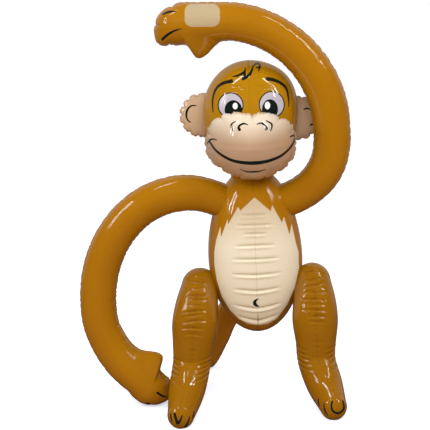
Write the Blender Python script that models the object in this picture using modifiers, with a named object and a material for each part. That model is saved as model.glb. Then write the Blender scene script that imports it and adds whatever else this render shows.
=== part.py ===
"""An inflatable monkey of glossy welded film, standing with one arm over its head and the other on the floor.

Metres, +Z up, the face towards -Y. Left and right are the viewer's, looking at the face.
The figure is modelled about the middle line of its torso, and an empty then centres its box over the origin.
"""

import math

import bmesh
import bpy
from mathutils import Matrix, Vector

# Torso: two half eggs that share their widest ring, flattened from front to back, and a straight neck
TORSO_BOTTOM_Z = 0.108
TORSO_LOWER_HEIGHT = 0.127
TORSO_UPPER_HEIGHT = 0.144
TORSO_WIDTH = 0.152
TORSO_DEPTH = 0.136
NECK_WIDTH = 0.066
NECK_IN_HEAD = 0.022

# Head
HEAD_WIDTH = 0.150
HEAD_DEPTH = 0.144
HEAD_HEIGHT = 0.168

# Muzzle: a pillow wrapped round the front of the head
MUZZLE_WIDTH = 0.142
MUZZLE_HEIGHT = 0.102
MUZZLE_DROP = 0.039
MUZZLE_FRONT_SWELL = 0.038
MUZZLE_BACK_SWELL = 0.030
MUZZLE_WRAP = 0.044
MUZZLE_CHIN_BACK = 0.010
MUZZLE_TOP_SQUARENESS = 2.8
MUZZLE_BOTTOM_SQUARENESS = 2.3
MUZZLE_SCALLOPS = 20

# Ears: flat round pillows
EAR_WIDTH = 0.070
EAR_THICKNESS = 0.024
EAR_OUT = 0.002
LEFT_EAR_DROP = 0.001
RIGHT_EAR_DROP = 0.011
EAR_SCALLOPS = 12
SCALLOP_DEPTH = 0.0016

# Arms: tubes in a nearly frontal plane, each with a hand
ARM_WIDTH = 0.056
SHOULDER_WIDTH = 0.051
HAND_WIDTH = 0.064
ARM_PLANE_Y = -0.020
HEAD_TO_ARM_GAP = 0.024
CROWN_TO_ARM_GAP = 0.035
RAISED_SHOULDER_RISE = 0.083
RAISED_ELBOW_RISE = 0.108
RAISED_UPPER_ARM = 0.016
RAISED_TOP_X = -0.040
RAISED_HAND_LENGTH = 0.067
LOWERED_TOP_RISE = 0.110
LOWERED_SIDE_Z = 0.170
LOWERED_LOOP_WIDTH = 0.145
LOWERED_HAND_Y = -0.028
HAND_TO_ANKLE_GAP = 0.006
HAND_OUTSIDE_LOOP_MIDDLE = 0.068
LOWERED_BOTTOM_Z = 0.020
UPPER_ARC_FULLNESS = 1.94
ELBOW_ARC_FULLNESS = 2.12
LOWERED_ARC_FULLNESS = 1.98

# Hands: four fingertips in a fan and a thumb
FINGER_LENGTH = 0.042
FINGER_WIDTH = 0.027
FINGER_DEPTH = 0.040
FINGER_REACH = 0.0335
FINGER_FAN = (-52, -18, 16, 48)
THUMB_LENGTH = 0.054
THUMB_WIDTH = 0.040
THUMB_DEPTH = 0.036
THUMB_BACK = 0.036
THUMB_SIDE = 0.028
RAISED_THUMB_TURN = 85
LOWERED_THUMB_TURN = 40

# Legs: thigh, knee, shank and foot along one bent tube
HIP_WIDTH = 0.062
THIGH_WIDTH = 0.070
SHANK_WIDTH = 0.063
ANKLE_WIDTH = 0.060
INSTEP_WIDTH = 0.057
TOE_WIDTH = 0.042
HIP_IN_TORSO = 0.016
HIP_Z = 0.190
KNEE_Z = 0.132
SHANK_Z = 0.105
ANKLE_Z = 0.072
INSTEP_Z = 0.040
HIP_Y = -0.014
KNEE_Y = -0.048
SHANK_Y = -0.050
ANKLE_Y = -0.052
INSTEP_Y = -0.080
TOE_Y = -0.126
LEFT_KNEE_SPREAD = 0.007
LEFT_ANKLE_SPREAD = 0.017
LEFT_FOOT_SPREAD = 0.035
RIGHT_KNEE_SPREAD = 0.002
RIGHT_ANKLE_SPREAD = 0.002
RIGHT_FOOT_SPREAD = 0.022

# Tail: from the lower back to the floor, its tip curled up behind the leg
TAIL_WIDTH = 0.042
TAIL_TIP_WIDTH = 0.036
TAIL_ROUTE = ((0, 0.030, 0.176), (-0.036, 0.068, 0.142), (-0.061, 0.090, 0.103), (-0.077, 0.116, 0.063))
TAIL_REST = (-0.097, 0.148)
TAIL_TURN = (-0.111, 0.172)
TAIL_TURN_RISE = 0.010
TAIL_TIP = (-0.122, 0.190, 0.060)

# Valve on the back: a flange, a stem and the plug in it
VALVE_RISE = 0.060
VALVE_FLANGE_WIDTH = 0.020
VALVE_FLANGE_THICKNESS = 0.0015
VALVE_STEM_WIDTH = 0.009
VALVE_STEM_LENGTH = 0.005
VALVE_PLUG_WIDTH = 0.012
VALVE_PLUG_THICKNESS = 0.002
VALVE_ROOT = 0.010

# Fits
GAP = 0.0003
FLAT_DEPTH = 0.0022

# Fineness of the faceted forms
TORSO_SIDES = 32
TORSO_RINGS = 9
HEAD_SIDES = 32
HEAD_RINGS = 16
MUZZLE_SIDES = 80
EAR_SIDES = 36
PILLOW_RINGS = 10
VALVE_SIDES = 16
LOBE_SIDES = 14
LOBE_RINGS = 8
TUBE_BEVEL_RESOLUTION = 4
TUBE_STEP = 0.017
CAP_RINGS = 4

# Sizes worked out from the ones above
TORSO_WIDEST_Z = TORSO_BOTTOM_Z + TORSO_LOWER_HEIGHT
HEAD_Z = TORSO_WIDEST_Z + TORSO_UPPER_HEIGHT + HEAD_HEIGHT / 2
RAISED_ARM_X = HEAD_WIDTH / 2 + HEAD_TO_ARM_GAP + ARM_WIDTH / 2
RAISED_ARM_TOP_Z = HEAD_Z + HEAD_HEIGHT / 2 + CROWN_TO_ARM_GAP + ARM_WIDTH / 2
EAR_Y = ARM_PLANE_Y + ARM_WIDTH / 2 + EAR_THICKNESS / 2
HIP_X = TORSO_WIDTH / 2 + HIP_WIDTH / 2 - HIP_IN_TORSO
LEFT_ANKLE_X = -(HIP_X + LEFT_ANKLE_SPREAD)
LOWERED_HAND_X = LEFT_ANKLE_X - ANKLE_WIDTH / 2 - HAND_TO_ANKLE_GAP - FINGER_REACH
LOWERED_HAND_Z = HAND_WIDTH / 2 - FLAT_DEPTH

FILM_ORANGE = (0.46, 0.22, 0.012)
FILM_PEACH = (0.76, 0.50, 0.32)
VALVE_CLEAR = (0.80, 0.80, 0.78)


def clear_scene():
    """Remove every object of the scene that is open."""
    for old in list(bpy.data.objects):
        bpy.data.objects.remove(old, do_unlink=True)


def collection(name, shown):
    """A new collection; one that isn't shown holds cutters and other guides."""
    made = bpy.data.collections.new(name)
    made.hide_render = not shown
    bpy.context.scene.collection.children.link(made)
    return made


def film(name, colour, roughness=0.18):
    """The glossy film that a piece is welded from."""
    material = bpy.data.materials.new(name)
    material.use_nodes = True
    shader = material.node_tree.nodes["Principled BSDF"]
    shader.inputs["Base Color"].default_value = (*colour, 1)
    shader.inputs["Roughness"].default_value = roughness
    shader.inputs["Metallic"].default_value = 0
    return material


def superellipse(angle, half_width, half_height, squareness):
    """How far a superellipse reaches from its middle in the direction of an angle."""
    across = abs(math.cos(angle) / half_width) ** squareness
    up = abs(math.sin(angle) / half_height) ** squareness
    return (across + up) ** (-1 / squareness)


def quarter(centre, radii, start, end, steps, fullness):
    """Points of an arc in the frontal plane about a centre (x, z), from one angle to another in degrees.
    At a fullness of 2 it is part of an ellipse; a higher one makes it squarer."""
    points = []
    for step in range(steps + 1):
        angle = math.radians(start + (end - start) * step / steps)
        across = math.copysign(abs(math.cos(angle)) ** (2 / fullness), math.cos(angle))
        up = math.copysign(abs(math.sin(angle)) ** (2 / fullness), math.sin(angle))
        points.append((centre[0] + radii[0] * across, centre[1] + radii[1] * up))
    return points


def smooth(stations, step):
    """Stations (x, y, z, width) about a step apart on one smooth curve through the given ones."""
    knots = [Vector(station) for station in stations]
    knots = [2 * knots[0] - knots[1], *knots, 2 * knots[-1] - knots[-2]]
    result = []
    for before, here, after, beyond in zip(knots, knots[1:], knots[2:], knots[3:]):
        count = max(1, round((after - here).length / step))
        for i in range(count):
            t = i / count
            result.append(
                here
                + (after - before) * (t / 2)
                + (2 * before - 5 * here + 4 * after - beyond) * (t * t / 2)
                + (3 * here - before - 3 * after + beyond) * (t**3 / 2)
            )
    return [*result, knots[-2]]


def round_end(end, inner):
    """Stations that close a tube with half a ball past its end."""
    middle, radius = end.to_3d(), end.w / 2
    out = (middle - inner.to_3d()).normalized()
    rings = []
    for ring in range(1, CAP_RINGS + 1):
        angle = math.radians(84) * ring / CAP_RINGS
        rings.append((*(middle + out * radius * math.sin(angle)), 2 * radius * math.cos(angle)))
    return [Vector(station) for station in rings]


class Builder:
    """Makes the pieces and the cutters, and hangs them all on one empty."""

    def __init__(self):
        self.pieces = collection("inflatable_monkey", True)
        self.guides = collection("cutters", False)
        self.figure = bpy.data.objects.new("figure", None)
        self.pieces.objects.link(self.figure)

    def add(self, name, mesh, material=None):
        """An object of a mesh: a piece where it has a material, and a cutter where it has none."""
        made = bpy.data.objects.new(name, mesh)
        made.parent = self.figure
        if material:
            self.pieces.objects.link(made)
            mesh.materials.append(material)
            mesh.shade_smooth()
        else:
            self.guides.objects.link(made)
            made.hide_render = True
            made.display_type = "WIRE"
        return made

    def ball(self, name, size, sides, rings, place, material=None):
        """An ellipsoid of a size (x, y, z), put in its place by a matrix."""
        mesh = bpy.data.meshes.new(name)
        shape = bmesh.new()
        stretched = place @ Matrix.Diagonal((*size, 1))
        bmesh.ops.create_uvsphere(shape, u_segments=sides, v_segments=rings, radius=0.5, matrix=stretched)
        shape.to_mesh(mesh)
        shape.free()
        return self.add(name, mesh, material)

    def turned(self, name, profile, sides, material=None):
        """A solid turned about Z from a profile of (radius, z), listed from its top down."""
        mesh = bpy.data.meshes.new(name)
        shape = bmesh.new()
        corners = [shape.verts.new((radius, 0, z)) for radius, z in profile]
        for upper, lower in zip(corners, corners[1:]):
            shape.edges.new((upper, lower))
        shape.to_mesh(mesh)
        shape.free()
        made = self.add(name, mesh, material)
        screw = made.modifiers.new("turn", "SCREW")
        screw.steps = screw.render_steps = sides
        screw.use_merge_vertices = True
        screw.merge_threshold = 0.00001
        screw.use_smooth_shade = bool(material)
        return made

    def tube(self, name, stations, material=None):
        """A tube through stations (x, y, z, width), with both its ends round."""
        stations = smooth(stations, TUBE_STEP)
        first, last = round_end(stations[0], stations[1]), round_end(stations[-1], stations[-2])
        stations = [*reversed(first), *stations, *last]
        curve = bpy.data.curves.new(name, "CURVE")
        curve.dimensions = "3D"
        curve.bevel_depth = 1
        curve.bevel_resolution = TUBE_BEVEL_RESOLUTION
        curve.use_fill_caps = True
        spline = curve.splines.new("POLY")
        spline.points.add(len(stations) - 1)
        for point, station in zip(spline.points, stations):
            point.co = (*station.to_3d(), 1)
            point.radius = station.w / 2
        drawn = bpy.data.objects.new(name, curve)
        self.guides.objects.link(drawn)
        bpy.context.view_layer.update()
        graph = bpy.context.evaluated_depsgraph_get()
        mesh = bpy.data.meshes.new_from_object(drawn.evaluated_get(graph))
        bpy.data.objects.remove(drawn)
        bpy.data.curves.remove(curve)
        shape = bmesh.new()
        shape.from_mesh(mesh)
        bmesh.ops.remove_doubles(shape, verts=shape.verts, dist=0.00001)
        bmesh.ops.recalc_face_normals(shape, faces=shape.faces)
        shape.to_mesh(mesh)
        shape.free()
        mesh.name = name
        mesh.materials.clear()
        return self.add(name, mesh, material)

    def pillow(self, name, outline, swell, base, material, sides):
        """A pillow that faces -Y: its welded edge follows outline(angle) about (0, 0), and base(x, z) is the
        depth that it is welded at; swell holds how far its front and its back stand out of that."""
        mesh = bpy.data.meshes.new(name)
        shape = bmesh.new()
        upright = Matrix.Rotation(math.radians(90), 4, "X")
        bmesh.ops.create_uvsphere(shape, u_segments=sides, v_segments=PILLOW_RINGS, radius=1, matrix=upright)
        for corner in shape.verts:
            angle = math.atan2(corner.co.z, corner.co.x)
            share = math.hypot(corner.co.x, corner.co.z)
            reach = outline(angle, share) * share
            x, z = reach * math.cos(angle), reach * math.sin(angle)
            out = swell[0] if corner.co.y < 0 else swell[1]
            corner.co = (x, base(x, z) + out * corner.co.y, z)
        shape.to_mesh(mesh)
        shape.free()
        return self.add(name, mesh, material)


def cut(piece, *cutters):
    """Cut a piece by each of the cutters."""
    for cutter in cutters:
        boolean = piece.modifiers.new("cut by " + cutter.name, "BOOLEAN")
        boolean.operation = "DIFFERENCE"
        boolean.object = cutter


def join(piece, *others):
    """Make a piece one body with each of the others."""
    for other in others:
        boolean = piece.modifiers.new("join " + other.name, "BOOLEAN")
        boolean.operation = "UNION"
        boolean.object = other


def torso_profile(grow=0.0):
    """The torso's side as (radius, z) from the top of its neck down, all of it grown by a distance."""
    half, neck = TORSO_WIDTH / 2, NECK_WIDTH / 2
    neck_top = HEAD_Z - HEAD_HEIGHT / 2 + NECK_IN_HEAD
    shoulder = math.acos(neck / half)
    profile = [(0, neck_top + grow), (neck + grow, neck_top + grow)]
    for ring in range(TORSO_RINGS + 1):
        angle = shoulder * (1 - ring / TORSO_RINGS)
        radius, rise = half + grow, TORSO_UPPER_HEIGHT + grow
        profile.append((radius * math.cos(angle), TORSO_WIDEST_Z + rise * math.sin(angle)))
    for ring in range(1, TORSO_RINGS + 1):
        angle = math.radians(90) * ring / TORSO_RINGS
        radius, drop = half + grow, TORSO_LOWER_HEIGHT + grow
        profile.append((radius * math.cos(angle), TORSO_WIDEST_Z - drop * math.sin(angle)))
    profile[-1] = (0, TORSO_BOTTOM_Z - grow)
    return profile


def torso_body(builder, name, grow=0.0, material=None):
    """The torso, or a cutter of its shape that is grown by a distance."""
    body = builder.turned(name, torso_profile(grow), TORSO_SIDES, material)
    body.scale.y = (TORSO_DEPTH + 2 * grow) / (TORSO_WIDTH + 2 * grow)
    return body


def head_body(builder, name, grow=0.0, material=None):
    """The head, or a cutter of its shape that is grown by a distance."""
    size = (HEAD_WIDTH + 2 * grow, HEAD_DEPTH + 2 * grow, HEAD_HEIGHT + 2 * grow)
    return builder.ball(name, size, HEAD_SIDES, HEAD_RINGS, Matrix.Translation((0, 0, HEAD_Z)), material)


def scallop(angle, count, share):
    """How far the wavy welded edge is drawn in at an angle; it fades away from the edge."""
    return SCALLOP_DEPTH * (1 - abs(math.sin(count * angle / 2))) * share**6


def muzzle_outline(angle, share):
    """The muzzle's edge: broad and square above, rounder below, scalloped all round."""
    squareness = MUZZLE_TOP_SQUARENESS if math.sin(angle) > 0 else MUZZLE_BOTTOM_SQUARENESS
    reach = superellipse(angle, MUZZLE_WIDTH / 2, MUZZLE_HEIGHT / 2, squareness)
    return reach - scallop(angle, MUZZLE_SCALLOPS, share)


def muzzle_base(x, z):
    """The depth of the muzzle's welded edge: on the head's front in the middle, further back at the sides."""
    chin = max(0.0, -z / (MUZZLE_HEIGHT / 2))
    return MUZZLE_WRAP * (x / (MUZZLE_WIDTH / 2)) ** 2 + MUZZLE_CHIN_BACK * chin


def make_muzzle(builder, material):
    """The muzzle, on the front of the head."""
    swell = (MUZZLE_FRONT_SWELL, MUZZLE_BACK_SWELL)
    muzzle = builder.pillow("muzzle", muzzle_outline, swell, muzzle_base, material, MUZZLE_SIDES)
    muzzle.location = (0, -HEAD_DEPTH / 2, HEAD_Z - MUZZLE_DROP)
    return muzzle


def ear_outline(angle, share):
    """An ear's edge: a scalloped circle."""
    return EAR_WIDTH / 2 - scallop(angle, EAR_SCALLOPS, share)


def make_ear(builder, name, side, drop, material):
    """An ear, beside the head and behind the plane of the arms."""
    swell = (EAR_THICKNESS / 2, EAR_THICKNESS / 2)
    ear = builder.pillow(name, ear_outline, swell, lambda x, z: 0, material, EAR_SIDES)
    ear.location = (side * (HEAD_WIDTH / 2 + EAR_OUT), EAR_Y, HEAD_Z - drop)
    return ear


def frontal(points, depths, widths):
    """Stations from points (x, z), with depth and width read off their own curves of (share, value)."""
    lengths = [0.0]
    for before, here in zip(points, points[1:]):
        lengths.append(lengths[-1] + math.dist(before, here))
    return [
        (x, value_at(length / lengths[-1], depths), z, value_at(length / lengths[-1], widths))
        for (x, z), length in zip(points, lengths)
    ]


def value_at(share, curve):
    """A value read off a curve of (share, value) corners, eased between them."""
    for (start, low), (end, high) in zip(curve, curve[1:]):
        if share <= end:
            t = (share - start) / (end - start)
            return low + (high - low) * t * t * (3 - 2 * t)
    return curve[-1][1]


def turned_frontally(direction, degrees):
    """A direction turned in the frontal plane, counter-clockwise as the viewer sees it."""
    return Matrix.Rotation(math.radians(-degrees), 3, "Y") @ direction


def lobe(builder, name, middle, direction, size):
    """A rounded lobe of a size (length, depth, width) that points in a direction."""
    across = turned_frontally(direction, 90)
    turn = Matrix((direction, Vector((0, 1, 0)), across)).transposed()
    if turn.determinant() < 0:
        turn = Matrix((direction, Vector((0, 1, 0)), -across)).transposed()
    return builder.ball(name, size, LOBE_SIDES, LOBE_RINGS, Matrix.Translation(middle) @ turn.to_4x4())


def add_hand(builder, arm, palm, direction, thumb_turn):
    """Four fingertips round the end of an arm, and a thumb on the side of it that the arm curves towards."""
    fingers = []
    for number, fan in enumerate(FINGER_FAN, 1):
        towards = turned_frontally(direction, -fan)
        middle = palm + towards * (FINGER_REACH - FINGER_LENGTH / 2)
        size = (FINGER_LENGTH, FINGER_DEPTH, FINGER_WIDTH)
        fingers.append(lobe(builder, f"{arm.name}_finger_{number}", middle, towards, size))
    sideways = turned_frontally(direction, 90)
    towards = turned_frontally(direction, thumb_turn)
    middle = palm - direction * THUMB_BACK + sideways * THUMB_SIDE
    thumb = lobe(builder, arm.name + "_thumb", middle, towards, (THUMB_LENGTH, THUMB_DEPTH, THUMB_WIDTH))
    join(arm, *fingers, thumb)


def make_raised_arm(builder, material):
    """The arm on the right: up past the head, over it, and out to the left."""
    shoulder_z = TORSO_WIDEST_Z + RAISED_SHOULDER_RISE
    elbow_z = shoulder_z + RAISED_ELBOW_RISE
    wrist_z = elbow_z + RAISED_UPPER_ARM
    over = (RAISED_ARM_X - RAISED_TOP_X, RAISED_ARM_TOP_Z - wrist_z)
    points = [
        *quarter((0, elbow_z), (RAISED_ARM_X, RAISED_ELBOW_RISE), 270, 360, 6, ELBOW_ARC_FULLNESS),
        *quarter((RAISED_TOP_X, wrist_z), over, 0, 90, 9, UPPER_ARC_FULLNESS),
        (RAISED_TOP_X - RAISED_HAND_LENGTH, RAISED_ARM_TOP_Z),
    ]
    depths = ((0, 0), (0.3, ARM_PLANE_Y), (1, ARM_PLANE_Y))
    slim, full = SHOULDER_WIDTH, ARM_WIDTH
    widths = ((0, slim), (0.12, slim), (0.25, full), (0.86, full), (1, HAND_WIDTH))
    arm = builder.tube("raised_arm", frontal(points, depths, widths), material)
    palm = Vector((points[-1][0], ARM_PLANE_Y, points[-1][1]))
    add_hand(builder, arm, palm, Vector((-1, 0, 0)), RAISED_THUMB_TURN)
    return arm


def make_lowered_arm(builder, material):
    """The arm on the left: out and down in a wide loop, to its hand on the floor beside the foot."""
    top_z = TORSO_WIDEST_Z + LOWERED_TOP_RISE
    middle = (LOWERED_HAND_X + HAND_OUTSIDE_LOOP_MIDDLE, LOWERED_SIDE_Z)
    above = (LOWERED_LOOP_WIDTH, top_z - LOWERED_SIDE_Z)
    below = (LOWERED_LOOP_WIDTH, LOWERED_SIDE_Z - LOWERED_BOTTOM_Z)
    points = [
        *quarter(middle, above, 50, 180, 10, LOWERED_ARC_FULLNESS),
        *quarter(middle, below, 180, 232, 4, LOWERED_ARC_FULLNESS)[1:],
        (LOWERED_HAND_X, LOWERED_HAND_Z),
    ]
    depths = ((0, 0), (0.25, ARM_PLANE_Y), (0.8, ARM_PLANE_Y), (1, LOWERED_HAND_Y))
    slim, full = SHOULDER_WIDTH, ARM_WIDTH
    widths = ((0, slim), (0.1, slim), (0.22, full), (0.82, full), (1, HAND_WIDTH))
    arm = builder.tube("lowered_arm", frontal(points, depths, widths), material)
    palm = Vector((LOWERED_HAND_X, LOWERED_HAND_Y, LOWERED_HAND_Z))
    add_hand(builder, arm, palm, Vector((1, 0, -1)).normalized(), LOWERED_THUMB_TURN)
    return arm


def make_leg(builder, name, side, spreads, material):
    """A leg: its round top against the torso, bent at the knee, its toe flat on the floor.
    The spreads are how far its knee, ankle and foot stand outside its hip."""
    knee_x, ankle_x, toe_x = (HIP_X + spread for spread in spreads)
    stations = [
        (side * HIP_X, HIP_Y, HIP_Z, HIP_WIDTH),
        (side * knee_x, KNEE_Y, KNEE_Z, THIGH_WIDTH),
        (side * (knee_x + ankle_x) / 2, SHANK_Y, SHANK_Z, SHANK_WIDTH),
        (side * ankle_x, ANKLE_Y, ANKLE_Z, ANKLE_WIDTH),
        (side * (ankle_x + toe_x) / 2, INSTEP_Y, INSTEP_Z, INSTEP_WIDTH),
        (side * toe_x, TOE_Y, TOE_WIDTH / 2 - FLAT_DEPTH, TOE_WIDTH),
    ]
    return builder.tube(name, stations, material)


def make_tail(builder, material):
    """The tail: down and back from the lower back to the floor, and up again at its tip."""
    rest_z = TAIL_WIDTH / 2 - FLAT_DEPTH
    stations = [
        *((*place, TAIL_WIDTH) for place in TAIL_ROUTE),
        (*TAIL_REST, rest_z, TAIL_WIDTH),
        (*TAIL_TURN, rest_z + TAIL_TURN_RISE, TAIL_WIDTH),
        (*TAIL_TIP, TAIL_TIP_WIDTH),
    ]
    return builder.tube("tail", stations, material)


def make_valve(builder, material):
    """The valve on the back, square to the film that it is welded to."""
    flange, stem, plug = VALVE_FLANGE_WIDTH / 2, VALVE_STEM_WIDTH / 2, VALVE_PLUG_WIDTH / 2
    stem_top = VALVE_FLANGE_THICKNESS + VALVE_STEM_LENGTH
    profile = [
        (0, stem_top + VALVE_PLUG_THICKNESS),
        (plug, stem_top + VALVE_PLUG_THICKNESS),
        (plug, stem_top),
        (stem, stem_top),
        (stem, VALVE_FLANGE_THICKNESS),
        (flange, VALVE_FLANGE_THICKNESS),
        (flange, -VALVE_ROOT),
        (0, -VALVE_ROOT),
    ]
    valve = builder.turned("valve", profile, VALVE_SIDES, material)
    share = VALVE_RISE / TORSO_UPPER_HEIGHT
    depth = TORSO_DEPTH / 2 * math.sqrt(1 - share**2)
    slope = Vector((0, depth / (TORSO_DEPTH / 2) ** 2, VALVE_RISE / TORSO_UPPER_HEIGHT**2))
    valve.location = (0, depth, TORSO_WIDEST_Z + VALVE_RISE)
    valve.rotation_euler = slope.to_track_quat("Z", "Y").to_euler()
    return valve


def floor_cutter(builder):
    """A block under the floor, which cuts the feet, the hand and the tail flat where they rest."""
    mesh = bpy.data.meshes.new("floor_cutter")
    shape = bmesh.new()
    bmesh.ops.create_cube(shape, size=1, matrix=Matrix.Translation((0, 0, -0.5)))
    shape.to_mesh(mesh)
    shape.free()
    return builder.add("floor_cutter", mesh)


def centre_over_origin(builder):
    """Move the whole figure so that the middle of its box stands over the origin."""
    bpy.context.view_layer.update()
    graph = bpy.context.evaluated_depsgraph_get()
    corners = []
    for piece in builder.pieces.objects:
        if piece.type == "MESH":
            shown = piece.evaluated_get(graph)
            corners += [shown.matrix_world @ vertex.co for vertex in shown.to_mesh().vertices]
            shown.to_mesh_clear()
    for axis in (0, 1):
        along = [corner[axis] for corner in corners]
        builder.figure.location[axis] = -(min(along) + max(along)) / 2


def main():
    """Build the monkey."""
    clear_scene()
    builder = Builder()
    names = ("torso", "head", "raised_arm", "lowered_arm", "left_leg", "right_leg", "tail")
    orange = {name: film(name + " film", FILM_ORANGE) for name in names}
    peach = {name: film(name + " film", FILM_PEACH) for name in ("muzzle", "left_ear", "right_ear")}

    torso_body(builder, "torso", material=orange["torso"])
    head = head_body(builder, "head", material=orange["head"])
    torso_cutter = torso_body(builder, "torso_cutter", GAP)
    head_cutter = head_body(builder, "head_cutter", GAP)
    floor = floor_cutter(builder)
    cut(head, torso_cutter)

    muzzle = make_muzzle(builder, peach["muzzle"])
    left_ear = make_ear(builder, "left_ear", -1, LEFT_EAR_DROP, peach["left_ear"])
    right_ear = make_ear(builder, "right_ear", 1, RIGHT_EAR_DROP, peach["right_ear"])
    for piece in (muzzle, left_ear, right_ear):
        cut(piece, head_cutter)
    cut(muzzle, torso_cutter)

    raised_arm = make_raised_arm(builder, orange["raised_arm"])
    lowered_arm = make_lowered_arm(builder, orange["lowered_arm"])
    left_spreads = (LEFT_KNEE_SPREAD, LEFT_ANKLE_SPREAD, LEFT_FOOT_SPREAD)
    right_spreads = (RIGHT_KNEE_SPREAD, RIGHT_ANKLE_SPREAD, RIGHT_FOOT_SPREAD)
    legs = [
        make_leg(builder, "left_leg", -1, left_spreads, orange["left_leg"]),
        make_leg(builder, "right_leg", 1, right_spreads, orange["right_leg"]),
    ]
    tail = make_tail(builder, orange["tail"])
    valve = make_valve(builder, film("valve", VALVE_CLEAR, 0.25))
    for piece in (raised_arm, lowered_arm, *legs, tail, valve):
        cut(piece, torso_cutter)
    for piece in (lowered_arm, *legs, tail):
        cut(piece, floor)
    centre_over_origin(builder)


main()
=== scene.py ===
"""The looks of the inflatable monkey: glossy welded film, puckered seams, thin weld edges and printed lines.

Every chamber is a skin of rings in millimetres about the figure's own middle line, with the sizes of the
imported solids. Folds are moved into the skin itself. The printing is kept on its points as signed distances
in millimetres, which the finishes turn into crisp colour.
"""

import logging
import math
from collections.abc import Sequence
from dataclasses import dataclass, field
from enum import Enum

import bpy
import numpy as np
from mathutils import Matrix, Vector


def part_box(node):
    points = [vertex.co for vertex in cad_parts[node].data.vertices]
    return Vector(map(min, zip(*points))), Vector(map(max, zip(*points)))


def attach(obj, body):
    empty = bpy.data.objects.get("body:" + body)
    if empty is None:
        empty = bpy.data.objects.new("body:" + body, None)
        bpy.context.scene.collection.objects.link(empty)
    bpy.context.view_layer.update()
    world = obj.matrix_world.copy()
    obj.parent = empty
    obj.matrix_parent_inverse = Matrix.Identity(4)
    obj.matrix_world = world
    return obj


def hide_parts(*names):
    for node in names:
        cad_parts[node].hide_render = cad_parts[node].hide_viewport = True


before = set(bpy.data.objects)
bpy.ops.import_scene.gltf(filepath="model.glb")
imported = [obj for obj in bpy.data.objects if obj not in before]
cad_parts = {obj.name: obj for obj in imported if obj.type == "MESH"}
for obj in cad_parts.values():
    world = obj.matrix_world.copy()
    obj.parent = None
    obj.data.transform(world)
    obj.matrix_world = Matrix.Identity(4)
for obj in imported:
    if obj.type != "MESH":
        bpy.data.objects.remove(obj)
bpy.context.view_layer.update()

log = logging.getLogger("inflatable_monkey")

MM = 0.001
# The distance in millimetres of a mark where nothing is near.
FAR = 9.0
# How far the film, and the welded edges that stand on it, stay above the floor, in millimetres.
FLOOR_GAP = 0.15
WELD_FLOOR_GAP = 1.5
# The camera's sensor in millimetres, and how far it sees in metres.
SENSOR_WIDTH = 36
SEEN_AS_FAR_AS = 50
# The sum of a colour's parts below which it is an ink.
INK_BELOW = 0.3
# How squarely a point has to face the viewer of the drawing to take its printing.
PRINT_FACING = -0.05


class Slot(Enum):
    """The record's material slots."""

    ORANGE = "orange_film"
    PEACH = "peach_film"


class Mark(Enum):
    """What a skin's points carry for its finish, each a distance in millimetres."""

    INK = "ink_mm"
    PATCH = "patch_mm"
    WHITE = "white_mm"
    GLINT = "glint_mm"
    SEAM = "seam_mm"
    FOLD = "fold_mm"


# Places


def figure_shift() -> np.ndarray:
    """How far the figure's middle line stands from the origin, in millimetres."""
    low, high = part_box("torso")
    return np.array([(low[0] + high[0]) / 2, (low[1] + high[1]) / 2, 0]) / MM


SHIFT = figure_shift()


@dataclass(frozen=True)
class Drawing:
    """The drawing that the printing is laid out on: the figure as a viewer at the camera sees it.

    Its units are 1.6 mm at the figure; x runs to the right and y down from its top left corner.
    """

    unit: float = 1.6
    distance: float = 2100.0
    pitch: float = math.radians(12.0)
    roll: float = math.radians(2.2)
    aim_z: float = 303.6
    size: float = 430.0
    axis_right: float = 38.93
    slant: float = 0.0384

    def eye(self) -> np.ndarray:
        """Where the viewer stands."""
        return np.array([0, 0, self.aim_z]) - self.distance * self.forward()

    def forward(self) -> np.ndarray:
        """The direction that the viewer looks in."""
        return np.array([0, math.cos(self.pitch), -math.sin(self.pitch)])

    def upward(self) -> np.ndarray:
        """The direction that is up in the viewer's eye."""
        return np.array([0, math.sin(self.pitch), math.cos(self.pitch)])

    def place(self, points: np.ndarray) -> np.ndarray:
        """Where points of the figure are on the drawing.

        Args:
            points: points in millimetres, in an array whose last axis is x, y, z.

        Returns:
            The drawing's x and y of each point, along the last axis.
        """
        seen = points - self.eye()
        scale = self.distance / self.unit / (seen @ self.forward())
        right = seen[..., 0] * scale + self.axis_right
        up = (seen @ self.upward()) * scale
        turned_right = right * math.cos(self.roll) - up * math.sin(self.roll)
        turned_up = right * math.sin(self.roll) + up * math.cos(self.roll)
        return np.stack([self.size / 2 + turned_right, self.size / 2 - turned_up], axis=-1)

    def down(self, points: np.ndarray, about: float) -> np.ndarray:
        """How far down the drawing points are, square to the figure's middle line, which slants on it.

        Args:
            points: points in millimetres, in an array whose last axis is x, y, z.
            about: the drawing's x at which the slant changes nothing.

        Returns:
            The distances in drawing units.
        """
        places = self.place(points)
        return places[..., 1] + self.slant * (places[..., 0] - about)

    def camera(self) -> bpy.types.Object:
        """A camera that sees the figure as the drawing has it."""
        data = bpy.data.cameras.new("camera")
        data.sensor_width = SENSOR_WIDTH
        data.lens = data.sensor_width * self.distance / (self.size * self.unit)
        data.shift_x = -self.axis_right * math.cos(self.roll) / self.size
        data.shift_y = -self.axis_right * math.sin(self.roll) / self.size
        data.clip_end = SEEN_AS_FAR_AS
        made = bpy.data.objects.new("camera", data)
        bpy.context.scene.collection.objects.link(made)
        up = self.upward() * math.cos(self.roll) + np.array([math.sin(self.roll), 0, 0])
        back = -self.forward()
        right = np.cross(up, back)
        turn = Matrix((Vector(right), Vector(up), Vector(back))).transposed().to_4x4()
        made.matrix_world = Matrix.Translation(Vector((self.eye() + SHIFT) * MM)) @ turn
        return made


DRAWING = Drawing()


# Curves


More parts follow.
